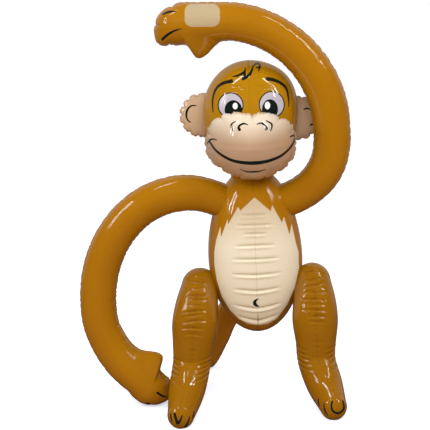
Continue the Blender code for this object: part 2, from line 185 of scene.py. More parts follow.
def curve_through(knots: np.ndarray, step: float) -> np.ndarray:
    """Points about a step apart on one smooth curve.

    Args:
        knots: the stations that the curve passes, one in each row; further columns are carried along.
        step: the distance between the points, in the units of the stations.

    Returns:
        The points, one in each row.
    """
    knots = np.asarray(knots, dtype=float)
    knots = np.vstack([2 * knots[0] - knots[1], knots, 2 * knots[-1] - knots[-2]])
    points = []
    for before, here, after, beyond in zip(knots, knots[1:], knots[2:], knots[3:]):
        count = max(1, round(float(np.linalg.norm(after[:3] - here[:3])) / step))
        t = (np.arange(count) / count)[:, None]
        linear = (after - before) / 2
        square = (2 * before - 5 * here + 4 * after - beyond) / 2
        cube = (3 * here - before - 3 * after + beyond) / 2
        points.append(here + t * (linear + t * (square + t * cube)))
    return np.vstack([*points, knots[-2]])


def softened(stations: np.ndarray, reach: int) -> np.ndarray:
    """Stations with their bends evened out; both ends keep their places.

    Args:
        stations: the stations, one in each row.
        reach: the odd number of neighbours that each is evened out over.

    Returns:
        The same number of stations.
    """
    shares = np.hanning(reach + 2)[1:-1]
    half = reach // 2
    padded = np.vstack([
        2 * stations[0] - stations[half:0:-1], stations, 2 * stations[-1] - stations[-2 : -half - 2 : -1]
    ])
    return np.column_stack([np.convolve(column, shares / shares.sum(), "valid") for column in padded.T])


def arc(centre: tuple, radii: tuple, start: float, end: float, steps: int, fullness: float) -> list[tuple]:
    """Points (x, z) of a part of a superellipse in the frontal plane.

    Args:
        centre: its middle (x, z).
        radii: how far it reaches across and up.
        start: the angle that it starts at, in degrees.
        end: the angle that it ends at.
        steps: the number of steps.
        fullness: 2 for an ellipse, more for a squarer one.

    Returns:
        The points from start to end.
    """
    angles = np.radians(np.linspace(start, end, steps + 1))
    across = np.sign(np.cos(angles)) * np.abs(np.cos(angles)) ** (2 / fullness)
    up = np.sign(np.sin(angles)) * np.abs(np.sin(angles)) ** (2 / fullness)
    return [(centre[0] + radii[0] * a, centre[1] + radii[1] * u) for a, u in zip(across, up)]


def eased(share: np.ndarray, corners: tuple) -> np.ndarray:
    """Values read off a curve that is eased between its corners.

    Args:
        share: where the curve is read.
        corners: the (share, value) of each corner.

    Returns:
        The values.
    """
    places, values = np.array(corners, dtype=float).T
    index = np.clip(np.searchsorted(places, share, side="left"), 1, len(places) - 1)
    t = np.clip((share - places[index - 1]) / (places[index] - places[index - 1]), 0, 1)
    return values[index - 1] + (values[index] - values[index - 1]) * t * t * (3 - 2 * t)


def spaced(
    start: float, end: float, fine_from: float, fine_to: float, fine: float, coarse: float
) -> np.ndarray:
    """Places a fine step apart in one stretch, with steps that grow to a coarse one outside it.

    Args:
        start: the first place.
        end: the last place.
        fine_from: where the fine stretch starts.
        fine_to: where it ends.
        fine: the step inside it.
        coarse: the step well outside it, which the steps reach over eight times its length.

    Returns:
        An odd number of places.
    """
    sample = np.linspace(start, end, 4000)
    outside = np.maximum(fine_from - sample, sample - fine_to)
    share = np.clip(outside / (8 * coarse), 0, 1)
    density = 1 / (fine + (coarse - fine) * share)
    count = np.concatenate([[0], np.cumsum((density[1:] + density[:-1]) / 2 * np.diff(sample))])
    steps = 2 * math.ceil(count[-1] / 2)
    return np.interp(np.linspace(0, count[-1], steps + 1), count, sample)


def lengths(points: np.ndarray) -> np.ndarray:
    """How far along a path each of its points is."""
    return np.concatenate([[0], np.cumsum(np.linalg.norm(np.diff(points, axis=0), axis=1))])


# Skins


@dataclass
class Skin:
    """A closed skin of rings from one pole to the other, in millimetres, and the marks on its points."""

    rings: np.ndarray
    marks: dict[Mark, np.ndarray] = field(default_factory=dict)

    def outward(self) -> np.ndarray:
        """The direction out of the skin at each of its points."""
        along = np.gradient(self.rings, axis=0)
        around = np.roll(self.rings, -1, axis=1) - np.roll(self.rings, 1, axis=1)
        out = np.cross(around, along)
        out /= np.maximum(np.linalg.norm(out, axis=2, keepdims=True), 1e-9)
        return out * self.side()

    def side(self) -> float:
        """1 where rings and columns run so that their cross product points out, and -1 where it points in."""
        along = np.gradient(self.rings, axis=0)
        around = np.roll(self.rings, -1, axis=1) - np.roll(self.rings, 1, axis=1)
        middle = self.rings.mean(axis=1, keepdims=True)
        return 1.0 if np.sum(np.cross(around, along) * (self.rings - middle)) > 0 else -1.0

    def push(self, amount: np.ndarray) -> None:
        """Moves each point out of the skin by its own amount."""
        self.rings = self.rings + self.outward() * amount[..., None]

    def mark(self, mark: Mark, values: np.ndarray) -> None:
        """Keeps the lower of the values that a mark has and the new ones."""
        self.marks[mark] = np.minimum(self.marks.get(mark, np.full(values.shape, FAR)), values)

    def fold(self, depth: np.ndarray) -> None:
        """Presses folds into the skin and keeps how deep they are."""
        self.push(-depth)
        self.marks[Mark.FOLD] = np.maximum(depth, 0)

    def facing(self) -> np.ndarray:
        """How squarely each point faces the viewer of the drawing: 1 squarely, below 0 turned away."""
        return -(self.outward() @ DRAWING.forward())

    def build(self, name: str, finish: bpy.types.Material) -> bpy.types.Object:
        """Makes the skin a mesh object in its place.

        Args:
            name: the piece's name.
            finish: its material.

        Returns:
            The object, at the origin, with its place in its mesh.
        """
        rows, columns, _ = self.rings.shape
        poles = np.stack([self.rings[0].mean(axis=0), self.rings[-1].mean(axis=0)])
        points = (np.vstack([self.rings.reshape(-1, 3), poles]) + SHIFT) * MM
        first, last = rows * columns, rows * columns + 1
        here = np.arange(columns)
        beside = (here + 1) % columns
        start = (np.arange(rows - 1) * columns)[:, None]
        below, above = (start + here, start + beside), (start + columns + beside, start + columns + here)
        quads = np.stack([*below, *above], axis=-1).reshape(-1, 4)
        bottom = np.stack([beside, here, np.full(columns, first)], axis=-1)
        end = (rows - 1) * columns
        top = np.stack([end + here, end + beside, np.full(columns, last)], axis=-1)
        if self.side() < 0:
            quads, bottom, top = quads[:, ::-1], bottom[:, ::-1], top[:, ::-1]
        mesh = bpy.data.meshes.new(name)
        mesh.from_pydata(points.tolist(), [], quads.tolist() + bottom.tolist() + top.tolist())
        for mark in Mark:
            default = 0.0 if mark is Mark.FOLD else FAR
            values = self.marks.get(mark, np.full((rows, columns), default))
            ends = [values[0].mean(), values[-1].mean()]
            layer = mesh.attributes.new(mark.value, "FLOAT", "POINT")
            layer.data.foreach_set("value", np.concatenate([values.ravel(), ends]).astype(np.float32))
        mesh.shade_smooth()
        mesh.materials.append(finish)
        made = bpy.data.objects.new(name, mesh)
        bpy.context.scene.collection.objects.link(made)
        return made


def turned_skin(profile: np.ndarray, rows: np.ndarray, angles: np.ndarray, flat: float) -> Skin:
    """A skin turned about the vertical.

    Args:
        profile: (radius, z) from its lowest point to its highest.
        rows: how far along the profile each ring is.
        angles: the columns, in radians from the front, growing to the viewer's right.
        flat: its depth as a share of its width.

    Returns:
        The skin, about the figure's middle line.
    """
    along = lengths(profile)
    radius = np.interp(rows, along, profile[:, 0])[:, None]
    height = np.interp(rows, along, profile[:, 1])[:, None]
    spread = np.ones_like(angles)[None, :]
    across, deep = radius * np.sin(angles), -flat * radius * np.cos(angles)
    return Skin(np.stack([across, deep, height * spread], axis=-1))


def swept_skin(route: np.ndarray, half: np.ndarray, side: np.ndarray, columns: int) -> Skin:
    """A skin swept along a route.

    Args:
        route: the middle of each ring.
        half: half the width of each ring.
        side: the direction across each ring in which its first column lies.
        columns: how many points a ring has.

    Returns:
        The skin. Its first column lies to the side, and the column a quarter round lies to the front of it.
    """
    along = np.gradient(route, axis=0)
    along /= np.linalg.norm(along, axis=1, keepdims=True)
    side = side - along * np.sum(side * along, axis=1, keepdims=True)
    side /= np.linalg.norm(side, axis=1, keepdims=True)
    front = np.cross(along, side)
    angles = np.arange(columns) / columns * math.tau
    reach = half[:, None, None]
    across = side[:, None, :] * np.cos(angles)[None, :, None]
    deep = front[:, None, :] * np.sin(angles)[None, :, None]
    return Skin(route[:, None, :] + reach * (across + deep))


def with_round_ends(stations: np.ndarray, step: float) -> np.ndarray:
    """Stations with half a ball added past each end.

    Args:
        stations: the x, y, z and half width of each.
        step: the distance between two of the added ones.

    Returns:
        The stations with the added ones.
    """
    ends = []
    for end, inner in ((stations[0], stations[1]), (stations[-1], stations[-2])):
        out = (end - inner)[:3]
        out /= np.linalg.norm(out)
        rings = max(6, math.ceil(end[3] * math.pi / 2 / step))
        angles = np.radians(np.linspace(0, 88.5, rings + 1)[1:])
        places = end[:3] + out * (end[3] * np.sin(angles))[:, None]
        ends.append(np.column_stack([places, end[3] * np.cos(angles)]))
    return np.vstack([ends[0][::-1], stations, ends[1]])


def around_seam(columns: int, seam: float) -> np.ndarray:
    """The angle of each column from a seam, in radians; the seam is given in degrees round the ring."""
    angles = np.arange(columns) / columns * math.tau - math.radians(seam)
    return (angles + math.pi) % math.tau - math.pi


def crease(off: np.ndarray, depth: float, width: float, lip: float = 0.45) -> np.ndarray:
    """How deep a crease is at places across it: a sharp line, and a swelling of the film on its lower side.

    Args:
        off: how far each place is from its line, growing downwards.
        depth: its depth.
        width: how wide its line is.
        lip: the height of the swelling as a share of the depth.

    Returns:
        The depths; below 0 where the film swells.
    """
    swelling = np.exp(-(((off - 3.0 * width) / (1.7 * width)) ** 2))
    return depth * (np.exp(-np.abs(off) / width) - lip * swelling)


@dataclass(frozen=True)
class Folds:
    """Short sharp folds that cross a seam or run away from it."""

    at: np.ndarray
    reach: np.ndarray
    depth: np.ndarray
    width: np.ndarray
    lean: np.ndarray

    @classmethod
    def scattered(
        cls, start: float, end: float, *, spacing: float, reach: float, depth: float, width: float, seed: int
    ) -> "Folds":
        """Folds a rough spacing apart, each a little unlike the others.

        Args:
            start: where along the seam they start.
            end: where they end.
            spacing: the usual distance between two of them.
            reach: how far from the seam they usually run.
            depth: how deep they usually are.
            width: how wide they usually are.
            seed: what their differences are drawn from.

        Returns:
            The folds.
        """
        draw = np.random.default_rng(seed)
        count = max(1, round((end - start) / spacing))
        at = start + (np.arange(count) + 0.5 + draw.uniform(-0.33, 0.33, count)) * (end - start) / count
        return cls(
            at,
            reach * draw.uniform(0.45, 1.3, count),
            depth * draw.uniform(0.35, 1.35, count),
            width * draw.uniform(0.75, 1.35, count),
            draw.uniform(-0.18, 0.18, count),
        )

    def depths(self, along: np.ndarray, away: np.ndarray) -> np.ndarray:
        """How deep the folds are at each point.

        Args:
            along: how far along the seam each point is.
            away: how far from the seam it is; its sign tells the two sides apart.

        Returns:
            The depths, 0 where there is no fold.
        """
        total = np.zeros(np.broadcast(along, away).shape)
        for at, reach, depth, width, lean in zip(self.at, self.reach, self.depth, self.width, self.lean):
            share = np.clip(np.abs(away) / reach, 0, 1)
            fade = (1 - share**2) ** 2
            place = along - at - lean * away
            total = np.maximum(total, depth * fade * np.exp(-np.abs(place) / width))
        return total


@dataclass(frozen=True)
class Ball:
    """An ellipsoid that other chambers lie against."""

    middle: tuple[float, float, float]
    radii: tuple[float, float, float]

    def keep_out(self, points: np.ndarray, sink: float = 0.6) -> np.ndarray:
        """Points of a neighbour, with those inside the ball brought up to its surface.

        Args:
            points: the points, with x, y, z along the last axis.
            sink: how far below the surface they may stay.

        Returns:
            The points, in the same order.
        """
        offset = (points - np.array(self.middle)) / np.array(self.radii)
        distance = np.linalg.norm(offset, axis=-1, keepdims=True)
        least = 1 - sink / min(self.radii)
        factor = np.where(distance < least, least / np.maximum(distance, 1e-6), 1)
        return np.array(self.middle) + offset * factor * np.array(self.radii)


# Printing


@dataclass(frozen=True)
class Stroke:
    """A printed line on the drawing: its points, and its widths at its start, middle and end."""

    points: tuple
    widths: tuple[float, float, float] = (0.6, 1.7, 0.6)
    spread: float = 1.4

    def distance(self, places: np.ndarray) -> np.ndarray:
        """How far places on the drawing are from the line's edge.

        Args:
            places: the drawing's x and y of each place, along the last axis.

        Returns:
            The distances in drawing units, below 0 inside the line.
        """
        path = curve_through(np.array(self.points), 1.0)
        share = lengths(path) / lengths(path)[-1]
        half = np.interp(share, (0, 0.5, 1), self.widths) / 2 * self.spread
        best = np.full(places.shape[:-1], FAR)
        for start, end, thick, thin in zip(path, path[1:], half, half[1:]):
            step = end - start
            t = np.clip(((places - start) @ step) / max(step @ step, 1e-9), 0, 1)
            gap = np.linalg.norm(places - (start + t[..., None] * step), axis=-1)
            best = np.minimum(best, gap - (thick + (thin - thick) * t))
        return best


@dataclass(frozen=True)
class Area:
    """A printed area on the drawing, inside an outline."""

    outline: tuple
    smooth: bool = True

    def distance(self, places: np.ndarray) -> np.ndarray:
        """How far places on the drawing are from the outline.

        Args:
            places: the drawing's x and y of each place, along the last axis.

        Returns:
            The distances in drawing units, below 0 inside the outline.
        """
        corners = np.array(self.outline, dtype=float)
        closed = np.vstack([corners, corners[:1]])
        if self.smooth:
            closed = curve_through(closed, 1.5)
        best = np.full(places.shape[:-1], 1e9)
        inside = np.zeros(places.shape[:-1], dtype=bool)
        for start, end in zip(closed, closed[1:]):
            step = end - start
            t = np.clip(((places - start) @ step) / max(step @ step, 1e-9), 0, 1)
            best = np.minimum(best, np.linalg.norm(places - (start + t[..., None] * step), axis=-1))
            crosses = (start[1] > places[..., 1]) != (end[1] > places[..., 1])
            rise = step[1] if abs(step[1]) > 1e-9 else 1e-9
            meets = start[0] + (places[..., 1] - start[1]) * step[0] / rise
            inside ^= crosses & (places[..., 0] < meets)
        return np.where(inside, -best, best)


@dataclass(frozen=True)
class Oval:
    """A printed oval on the drawing."""

    middle: tuple[float, float]
    radii: tuple[float, float]

    def distance(self, places: np.ndarray) -> np.ndarray:
        """How far places on the drawing are from its edge, in drawing units; below 0 inside it."""
        offset = (places - np.array(self.middle)) / np.array(self.radii)
        return (np.linalg.norm(offset, axis=-1) - 1) * min(self.radii)


@dataclass(frozen=True)
class Within:
    """The part of an oval that is inside another one, or outside it."""

    oval: Oval
    other: Oval
    outside: bool = False

    def distance(self, places: np.ndarray) -> np.ndarray:
        """How far places on the drawing are from the part, in drawing units; below 0 inside it."""
        other = self.other.distance(places)
        return np.maximum(self.oval.distance(places), -other if self.outside else other)


def printed(skin: Skin, mark: Mark, shapes: Sequence) -> None:
    """Prints shapes of the drawing on the side of a skin that faces the viewer.

    Args:
        skin: the skin that is printed.
        mark: the mark that takes the distances.
        shapes: the strokes, areas and ovals.
    """
    places = DRAWING.place(skin.rings)
    near = np.full(places.shape[:-1], FAR)
    for shape in shapes:
        near = np.minimum(near, shape.distance(places) * DRAWING.unit)
    skin.mark(mark, np.where(skin.facing() > PRINT_FACING, near, FAR))


# Finishes


class Nodes:
    """A small helper that lays out and joins the nodes of one tree."""

    def __init__(self, tree: bpy.types.NodeTree) -> None:
        """Takes the tree that the nodes go into."""
        self.tree = tree

    def fill(self, spot: bpy.types.NodeSocket, value: object) -> None:
        """Links an input to a socket, or sets it to a value.

        Args:
            spot: the input.
            value: the socket or the value.
        """
        if isinstance(value, bpy.types.NodeSocket):
            self.tree.links.new(value, spot)
        else:
            spot.default_value = value

    def add(self, kind: str, settings: dict | None = None, **inputs: object) -> bpy.types.Node:
        """Adds a node and sets or links its inputs.

        Args:
            kind: the node's type.
            settings: the node's own properties.
            inputs: the values or sockets of its inputs, by name with _ for spaces, or by number as in_0.

        Returns:
            The node.
        """
        node = self.tree.nodes.new(kind)
        for name, value in (settings or {}).items():
            setattr(node, name, value)
        for name, value in inputs.items():
            by_number = name.startswith("in_")
            self.fill(node.inputs[int(name[3:]) if by_number else name.replace("_", " ")], value)
        return node

    def math(
        self, operation: str, first: object, second: object = 0.0, clamp: bool = False
    ) -> bpy.types.NodeSocket:
        """The result of one sum of two values, held between 0 and 1 where it is clamped."""
        settings = {"operation": operation, "use_clamp": clamp}
        return self.add("ShaderNodeMath", settings, in_0=first, in_1=second).outputs[0]

    def mix(self, share: object, low: object, high: object) -> bpy.types.NodeSocket:
        """Two colours mixed by a share: the first at 0 and the second at 1."""
        colours = {"in_6": low, "in_7": high}
        return self.add("ShaderNodeMix", {"data_type": "RGBA"}, in_0=share, **colours).outputs[2]

    def noise(self, scale: float, detail: float, rough: float) -> bpy.types.NodeSocket:
        """A noise over the places of the piece, in a material."""
        inputs = {"Scale": scale, "Detail": detail, "Roughness": rough, "Vector": self.place()}
        return self.add("ShaderNodeTexNoise", **inputs).outputs["Fac"]

    def place(self) -> bpy.types.NodeSocket:
        """The places of the piece's points, in a material."""
        return self.add("ShaderNodeTexCoord").outputs["Object"]

    def scaled(self, vector: bpy.types.NodeSocket, factor: object) -> bpy.types.NodeSocket:
        """A vector times a factor."""
        node = self.add("ShaderNodeVectorMath", {"operation": "SCALE"}, in_0=vector, Scale=factor)
        return node.outputs["Vector"]

    def mark(self, mark: Mark) -> bpy.types.NodeSocket:
        """The values of a mark on the piece's points, in a material."""
        return self.add("ShaderNodeAttribute", {"attribute_name": mark.value}).outputs["Fac"]

    def named(self, name: str, kind: str) -> bpy.types.NodeSocket:
        """The values of a named attribute, in a Geometry Nodes tree."""
        node = self.add("GeometryNodeInputNamedAttribute", {"data_type": kind}, Name=name)
        return node.outputs["Attribute"]

    def store(self, geometry: bpy.types.NodeSocket, name: str, value: object) -> bpy.types.NodeSocket:
        """The geometry with a named value kept on its points, in a Geometry Nodes tree."""
        inputs = {"Geometry": geometry, "Name": name, "Value": value}
        node = self.add("GeometryNodeStoreNamedAttribute", {"data_type": "FLOAT"}, **inputs)
        return node.outputs["Geometry"]

    def swept(
        self, path: bpy.types.NodeSocket, ring: bpy.types.NodeSocket, size: bpy.types.NodeSocket
    ) -> bpy.types.NodeSocket:
        """The closed mesh of a ring swept along a path at a size, in a Geometry Nodes tree."""
        inputs = {"Curve": path, "Profile_Curve": ring, "Scale": size, "Fill_Caps": True}
        return self.add("GeometryNodeCurveToMesh", **inputs).outputs["Mesh"]

    def finish(self, shape: bpy.types.NodeSocket, finish: bpy.types.NodeSocket) -> None:
        """Ends a Geometry Nodes tree: its shape made real, in its material.

        Args:
            shape: the finished geometry.
            finish: the input that holds the material.
        """
        real = self.add("GeometryNodeRealizeInstances", Geometry=shape).outputs["Geometry"]
        done = self.add("GeometryNodeSetMaterial", Geometry=real, Material=finish).outputs["Geometry"]
        self.add("NodeGroupOutput", Geometry=done)

    def group(self, group: bpy.types.NodeTree, **inputs: object) -> bpy.types.Node:
        """Places a node group and sets or links its inputs."""
        return self.add("ShaderNodeGroup", {"node_tree": group}, **inputs)


GEOMETRY = "NodeSocketGeometry"
MATERIAL = "NodeSocketMaterial"
SOCKETS = {float: "NodeSocketFloat", int: "NodeSocketInt", tuple: "NodeSocketColor"}


def new_group(
    name: str, inputs: dict[str, object], output: str, kind: str, tree_kind: str = "ShaderNodeTree"
) -> tuple[bpy.types.NodeTree, Nodes, bpy.types.NodeOutputs]:
    """A new node group with named inputs and one output.

    Args:
        name: the group's name.
        inputs: what each input holds where nothing is given, or its type where it holds nothing.
        output: the name of the output.
        kind: the type of the output.
        tree_kind: the type of the group.

    Returns:
        The group, the helper for its nodes, and what its inputs give.
    """
    tree = bpy.data.node_groups.new(name, tree_kind)
    for label, value in inputs.items():
        empty = isinstance(value, str)
        socket = value if empty else SOCKETS[type(value)]
        made = tree.interface.new_socket(name=label, in_out="INPUT", socket_type=socket)
        if not empty:
            made.default_value = value
    tree.interface.new_socket(name=output, in_out="OUTPUT", socket_type=kind)
    nodes = Nodes(tree)
    return tree, nodes, nodes.add("NodeGroupInput").outputs


class Effects:
    """The shader node groups that the finishes share, and the sizes of their patterns."""

    BROAD_SCALE = 9.0
    MOTTLE_SCALE = 160.0
    HANDLED_SCALE = 22.0
    RUBBED_SCALE = 260.0
    WAVE_SCALE = 42.0
    PEEL_SCALE = 420.0
    # How strongly painted shade darkens the film in its folds, for each millimetre of their depth.
    FOLD_SHADE = 0.24
    WELD_SHADE = 0.45
    WELD_WIDTH = 0.7
    WELD_RELIEF = 0.35
    WELD_RELIEF_WIDTH = 1.1

    def __init__(self) -> None:
        """Makes the groups, each once."""
        self.mask = self.make_mask()
        self.tone = self.make_tone()
        self.smudge = self.make_smudge()
        self.relief = self.make_relief()

    def make_mask(self) -> bpy.types.NodeTree:
        """Turns a signed distance into a mask with a crisp edge.

        Returns:
            The group.
        """
        inputs = {"Distance": FAR, "Edge": 0.25}
        tree, nodes, given = new_group("print mask", inputs, "Mask", "NodeSocketFloat")
        share = nodes.math("DIVIDE", given["Distance"], given["Edge"])
        nodes.add("NodeGroupOutput", Mask=nodes.math("SUBTRACT", 0.5, share, clamp=True))
        return tree

    def make_tone(self) -> bpy.types.NodeTree:
        """Varies a film's colour: broad drifts, fine mottling, painted shade in folds, and darker along
        welds.

        Returns:
            The group.
        """
        inputs = {"Colour": (0.5, 0.5, 0.5, 1), "Deep Colour": (0.3, 0.3, 0.3, 1), "Drift": 0.25, "Fold": 0.0}
        inputs["Seam"] = FAR
        tree, nodes, given = new_group("film tone with painted fold shade", inputs, "Colour", "NodeSocketColor")
        drift = nodes.math("SUBTRACT", nodes.noise(self.BROAD_SCALE, 3.0, 0.55), 0.42)
        drift = nodes.math("MULTIPLY", drift, 2.4, clamp=True)
        drift = nodes.math("MULTIPLY", drift, given["Drift"])
        mottle = nodes.math("SUBTRACT", nodes.noise(self.MOTTLE_SCALE, 2.0, 0.5), 0.5)
        mottle = nodes.math("MULTIPLY", mottle, 0.12)
        # Painted shade: the film is darkened in its folds, the more the deeper they are.
        painted_fold_shade = nodes.math("MULTIPLY", given["Fold"], self.FOLD_SHADE, clamp=True)
        from_weld = nodes.math("DIVIDE", given["Seam"], self.WELD_WIDTH)
        along_weld = nodes.math("SUBTRACT", 1.0, from_weld, clamp=True)
        along_weld = nodes.math("MULTIPLY", along_weld, self.WELD_SHADE)
        varied, dark = nodes.math("ADD", drift, mottle), nodes.math("ADD", painted_fold_shade, along_weld)
        share = nodes.math("ADD", varied, dark, clamp=True)
        nodes.add("NodeGroupOutput", Colour=nodes.mix(share, given["Colour"], given["Deep Colour"]))
        return tree

    def make_smudge(self) -> bpy.types.NodeTree:
        """Varies a gloss: handled places and fine rubbing are a little duller than new film.

        Returns:
            The group.
        """
        inputs = {"Gloss": 0.15, "Dull": 0.3}
        tree, nodes, given = new_group("handling smudges", inputs, "Roughness", "NodeSocketFloat")
        handled = nodes.math("SUBTRACT", nodes.noise(self.HANDLED_SCALE, 4.0, 0.6), 0.5)
        handled = nodes.math("MULTIPLY", handled, 3.0, clamp=True)
        rubbed = nodes.math("MULTIPLY", nodes.noise(self.RUBBED_SCALE, 1.0, 0.5), 0.1)
        share = nodes.math("ADD", handled, rubbed, clamp=True)
        duller = nodes.math("MULTIPLY", share, nodes.math("SUBTRACT", given["Dull"], given["Gloss"]))
        nodes.add("NodeGroupOutput", Roughness=nodes.math("ADD", given["Gloss"], duller))
        return tree

    def make_relief(self) -> bpy.types.NodeTree:
        """The height of soft film under pressure: slow waves, fine orange peel, and a sunk weld line.

        Returns:
            The group.
        """
        inputs = {"Waves": 0.5, "Peel": 0.03, "Seam": FAR}
        tree, nodes, given = new_group("film relief", inputs, "Height", "NodeSocketFloat")
        waves = nodes.math("MULTIPLY", nodes.noise(self.WAVE_SCALE, 3.0, 0.5), given["Waves"])
        peel = nodes.math("MULTIPLY", nodes.noise(self.PEEL_SCALE, 2.0, 0.5), given["Peel"])
        from_weld = nodes.math("DIVIDE", given["Seam"], self.WELD_RELIEF_WIDTH)
        weld = nodes.math("SUBTRACT", 1.0, from_weld, clamp=True)
        weld = nodes.math("MULTIPLY", weld, self.WELD_RELIEF)
        height = nodes.math("SUBTRACT", nodes.math("ADD", waves, peel), weld)
        nodes.add("NodeGroupOutput", Height=height)
        return tree


@dataclass(frozen=True)
class PaintedHeightShading:
    """Painted light and shade by height: a change of colour towards a chamber's top, between two heights."""

    colour: tuple[float, float, float]
    low: float
    high: float

    def over(self, nodes: Nodes, colour: bpy.types.NodeSocket) -> bpy.types.NodeSocket:
        """Lays the painted shading over a colour.

        Args:
            nodes: the nodes of the material.
            colour: the colour below the change.

        Returns:
            The colour that changes with height.
        """
        height = nodes.add("ShaderNodeSeparateXYZ", Vector=nodes.place()).outputs["Z"]
        rise = nodes.add("ShaderNodeMapRange", Value=height, From_Min=self.low, From_Max=self.high)
        return nodes.mix(rise.outputs["Result"], colour, (*self.colour, 1))


@dataclass(frozen=True)
class Layer:
    """One printed colour: the mark that it is read from, and the colour."""

    mark: Mark
    colour: tuple[float, float, float]
    # painted shading by height, laid over the printed colour where one is given
    crown: PaintedHeightShading | None = None


def new_material(name: str) -> tuple[bpy.types.Material, Nodes, bpy.types.Node]:
    """A new material, the helper for its nodes, and its shader.

    Args:
        name: the material's name.

    Returns:
        The three.
    """
    material = bpy.data.materials.new(name)
    material.use_nodes = True
    return material, Nodes(material.node_tree), material.node_tree.nodes["Principled BSDF"]


def surface(
    nodes: Nodes, shader: bpy.types.Node, effects: Effects, gloss: dict, relief: dict, bump: dict
) -> None:
    """Gives a shader its smudged gloss and its relief.

    Args:
        nodes: the nodes of the material.
        shader: the shader.
        effects: the shared node groups.
        gloss: the inputs of the smudges.
        relief: the inputs of the relief.
        bump: how strongly the relief shows, and how high it is.
    """
    nodes.fill(shader.inputs["Roughness"], nodes.group(effects.smudge, **gloss).outputs["Roughness"])
    height = nodes.group(effects.relief, **relief).outputs["Height"]
    nodes.fill(shader.inputs["Normal"], nodes.add("ShaderNodeBump", Height=height, **bump).outputs["Normal"])


@dataclass(frozen=True)
class Film:
    """A finish of glossy film."""

    name: str
    colour: tuple[float, float, float]
    deep: tuple[float, float, float]
    gloss: float = 0.06
    dull: float = 0.15
    drift: float = 0.26
    shine: float = 0.5
    waves: float = 0.6
    marked: bool = True
    layers: tuple[Layer, ...] = ()
    # painted shading by height, laid over the film's colour where one is given
    crown: PaintedHeightShading | None = None
    layer_drift: float = 0.16
    layer_deep: tuple[float, float, float] = (0.62, 0.52, 0.42)

    def build(self, effects: Effects) -> bpy.types.Material:
        """Makes the finish a material.

        Args:
            effects: the shared node groups.

        Returns:
            The material.
        """
        material, nodes, shader = new_material(self.name)
        marks = {"Fold": nodes.mark(Mark.FOLD), "Seam": nodes.mark(Mark.SEAM)} if self.marked else {}
        relief = {"Waves": self.waves, **({"Seam": marks["Seam"]} if self.marked else {})}
        gloss, bump = {"Gloss": self.gloss, "Dull": self.dull}, {"Strength": 0.5, "Distance": 0.0012}
        surface(nodes, shader, effects, gloss, relief, bump)
        plain = {"Colour": (*self.colour, 1), "Deep_Colour": (*self.deep, 1), "Drift": self.drift}
        colour = nodes.group(effects.tone, **plain, **marks).outputs["Colour"]
        if self.crown:
            colour = self.crown.over(nodes, colour)
        for layer in self.layers:
            mask = nodes.group(effects.mask, Distance=nodes.mark(layer.mark)).outputs["Mask"]
            colour = nodes.mix(mask, colour, self.printed(layer, nodes, effects, marks))
        nodes.fill(shader.inputs["Base Color"], colour)
        shader.inputs["Specular IOR Level"].default_value = self.shine
        return material

    def printed(self, layer: Layer, nodes: Nodes, effects: Effects, marks: dict) -> object:
        """The colour of a printed layer: ink is even; paler colours vary as the film does, painted shade
        included.

        Args:
            layer: the layer.
            nodes: the nodes of the material.
            effects: the shared node groups.
            marks: the fold and seam of the piece.

        Returns:
            The colour or its socket.
        """
        if sum(layer.colour) < INK_BELOW:
            return (*layer.colour, 1)
        deep = tuple(value * share for value, share in zip(layer.colour, self.layer_deep))
        plain = {"Colour": (*layer.colour, 1), "Deep_Colour": (*deep, 1), "Drift": self.layer_drift}
        shade = nodes.group(effects.tone, **plain, **marks).outputs["Colour"]
        return layer.crown.over(nodes, shade) if layer.crown else shade


@dataclass(frozen=True)
class ClearVinyl:
    """A finish of soft clear vinyl, a little milky."""

    name: str = "milky vinyl"
    colour: tuple[float, float, float] = (0.78, 0.79, 0.77)
    clear: float = 0.35

    def build(self, effects: Effects) -> bpy.types.Material:
        """Makes the finish a material.

        Args:
            effects: the shared node groups.

        Returns:
            The material.
        """
        material, nodes, shader = new_material(self.name)
        gloss, bump = {"Gloss": 0.18, "Dull": 0.4}, {"Strength": 0.3, "Distance": 0.0006}
        surface(nodes, shader, effects, gloss, {"Waves": 0.1, "Peel": 0.06}, bump)
        plain, deep = (*self.colour, 1), (*(0.8 * value for value in self.colour), 1)
        tone = nodes.group(effects.tone, Colour=plain, Deep_Colour=deep, Drift=0.5)
        nodes.fill(shader.inputs["Base Color"], tone.outputs["Colour"])
        shader.inputs["Transmission Weight"].default_value = self.clear
        shader.inputs["IOR"].default_value = 1.5
        return material


# Weld edges


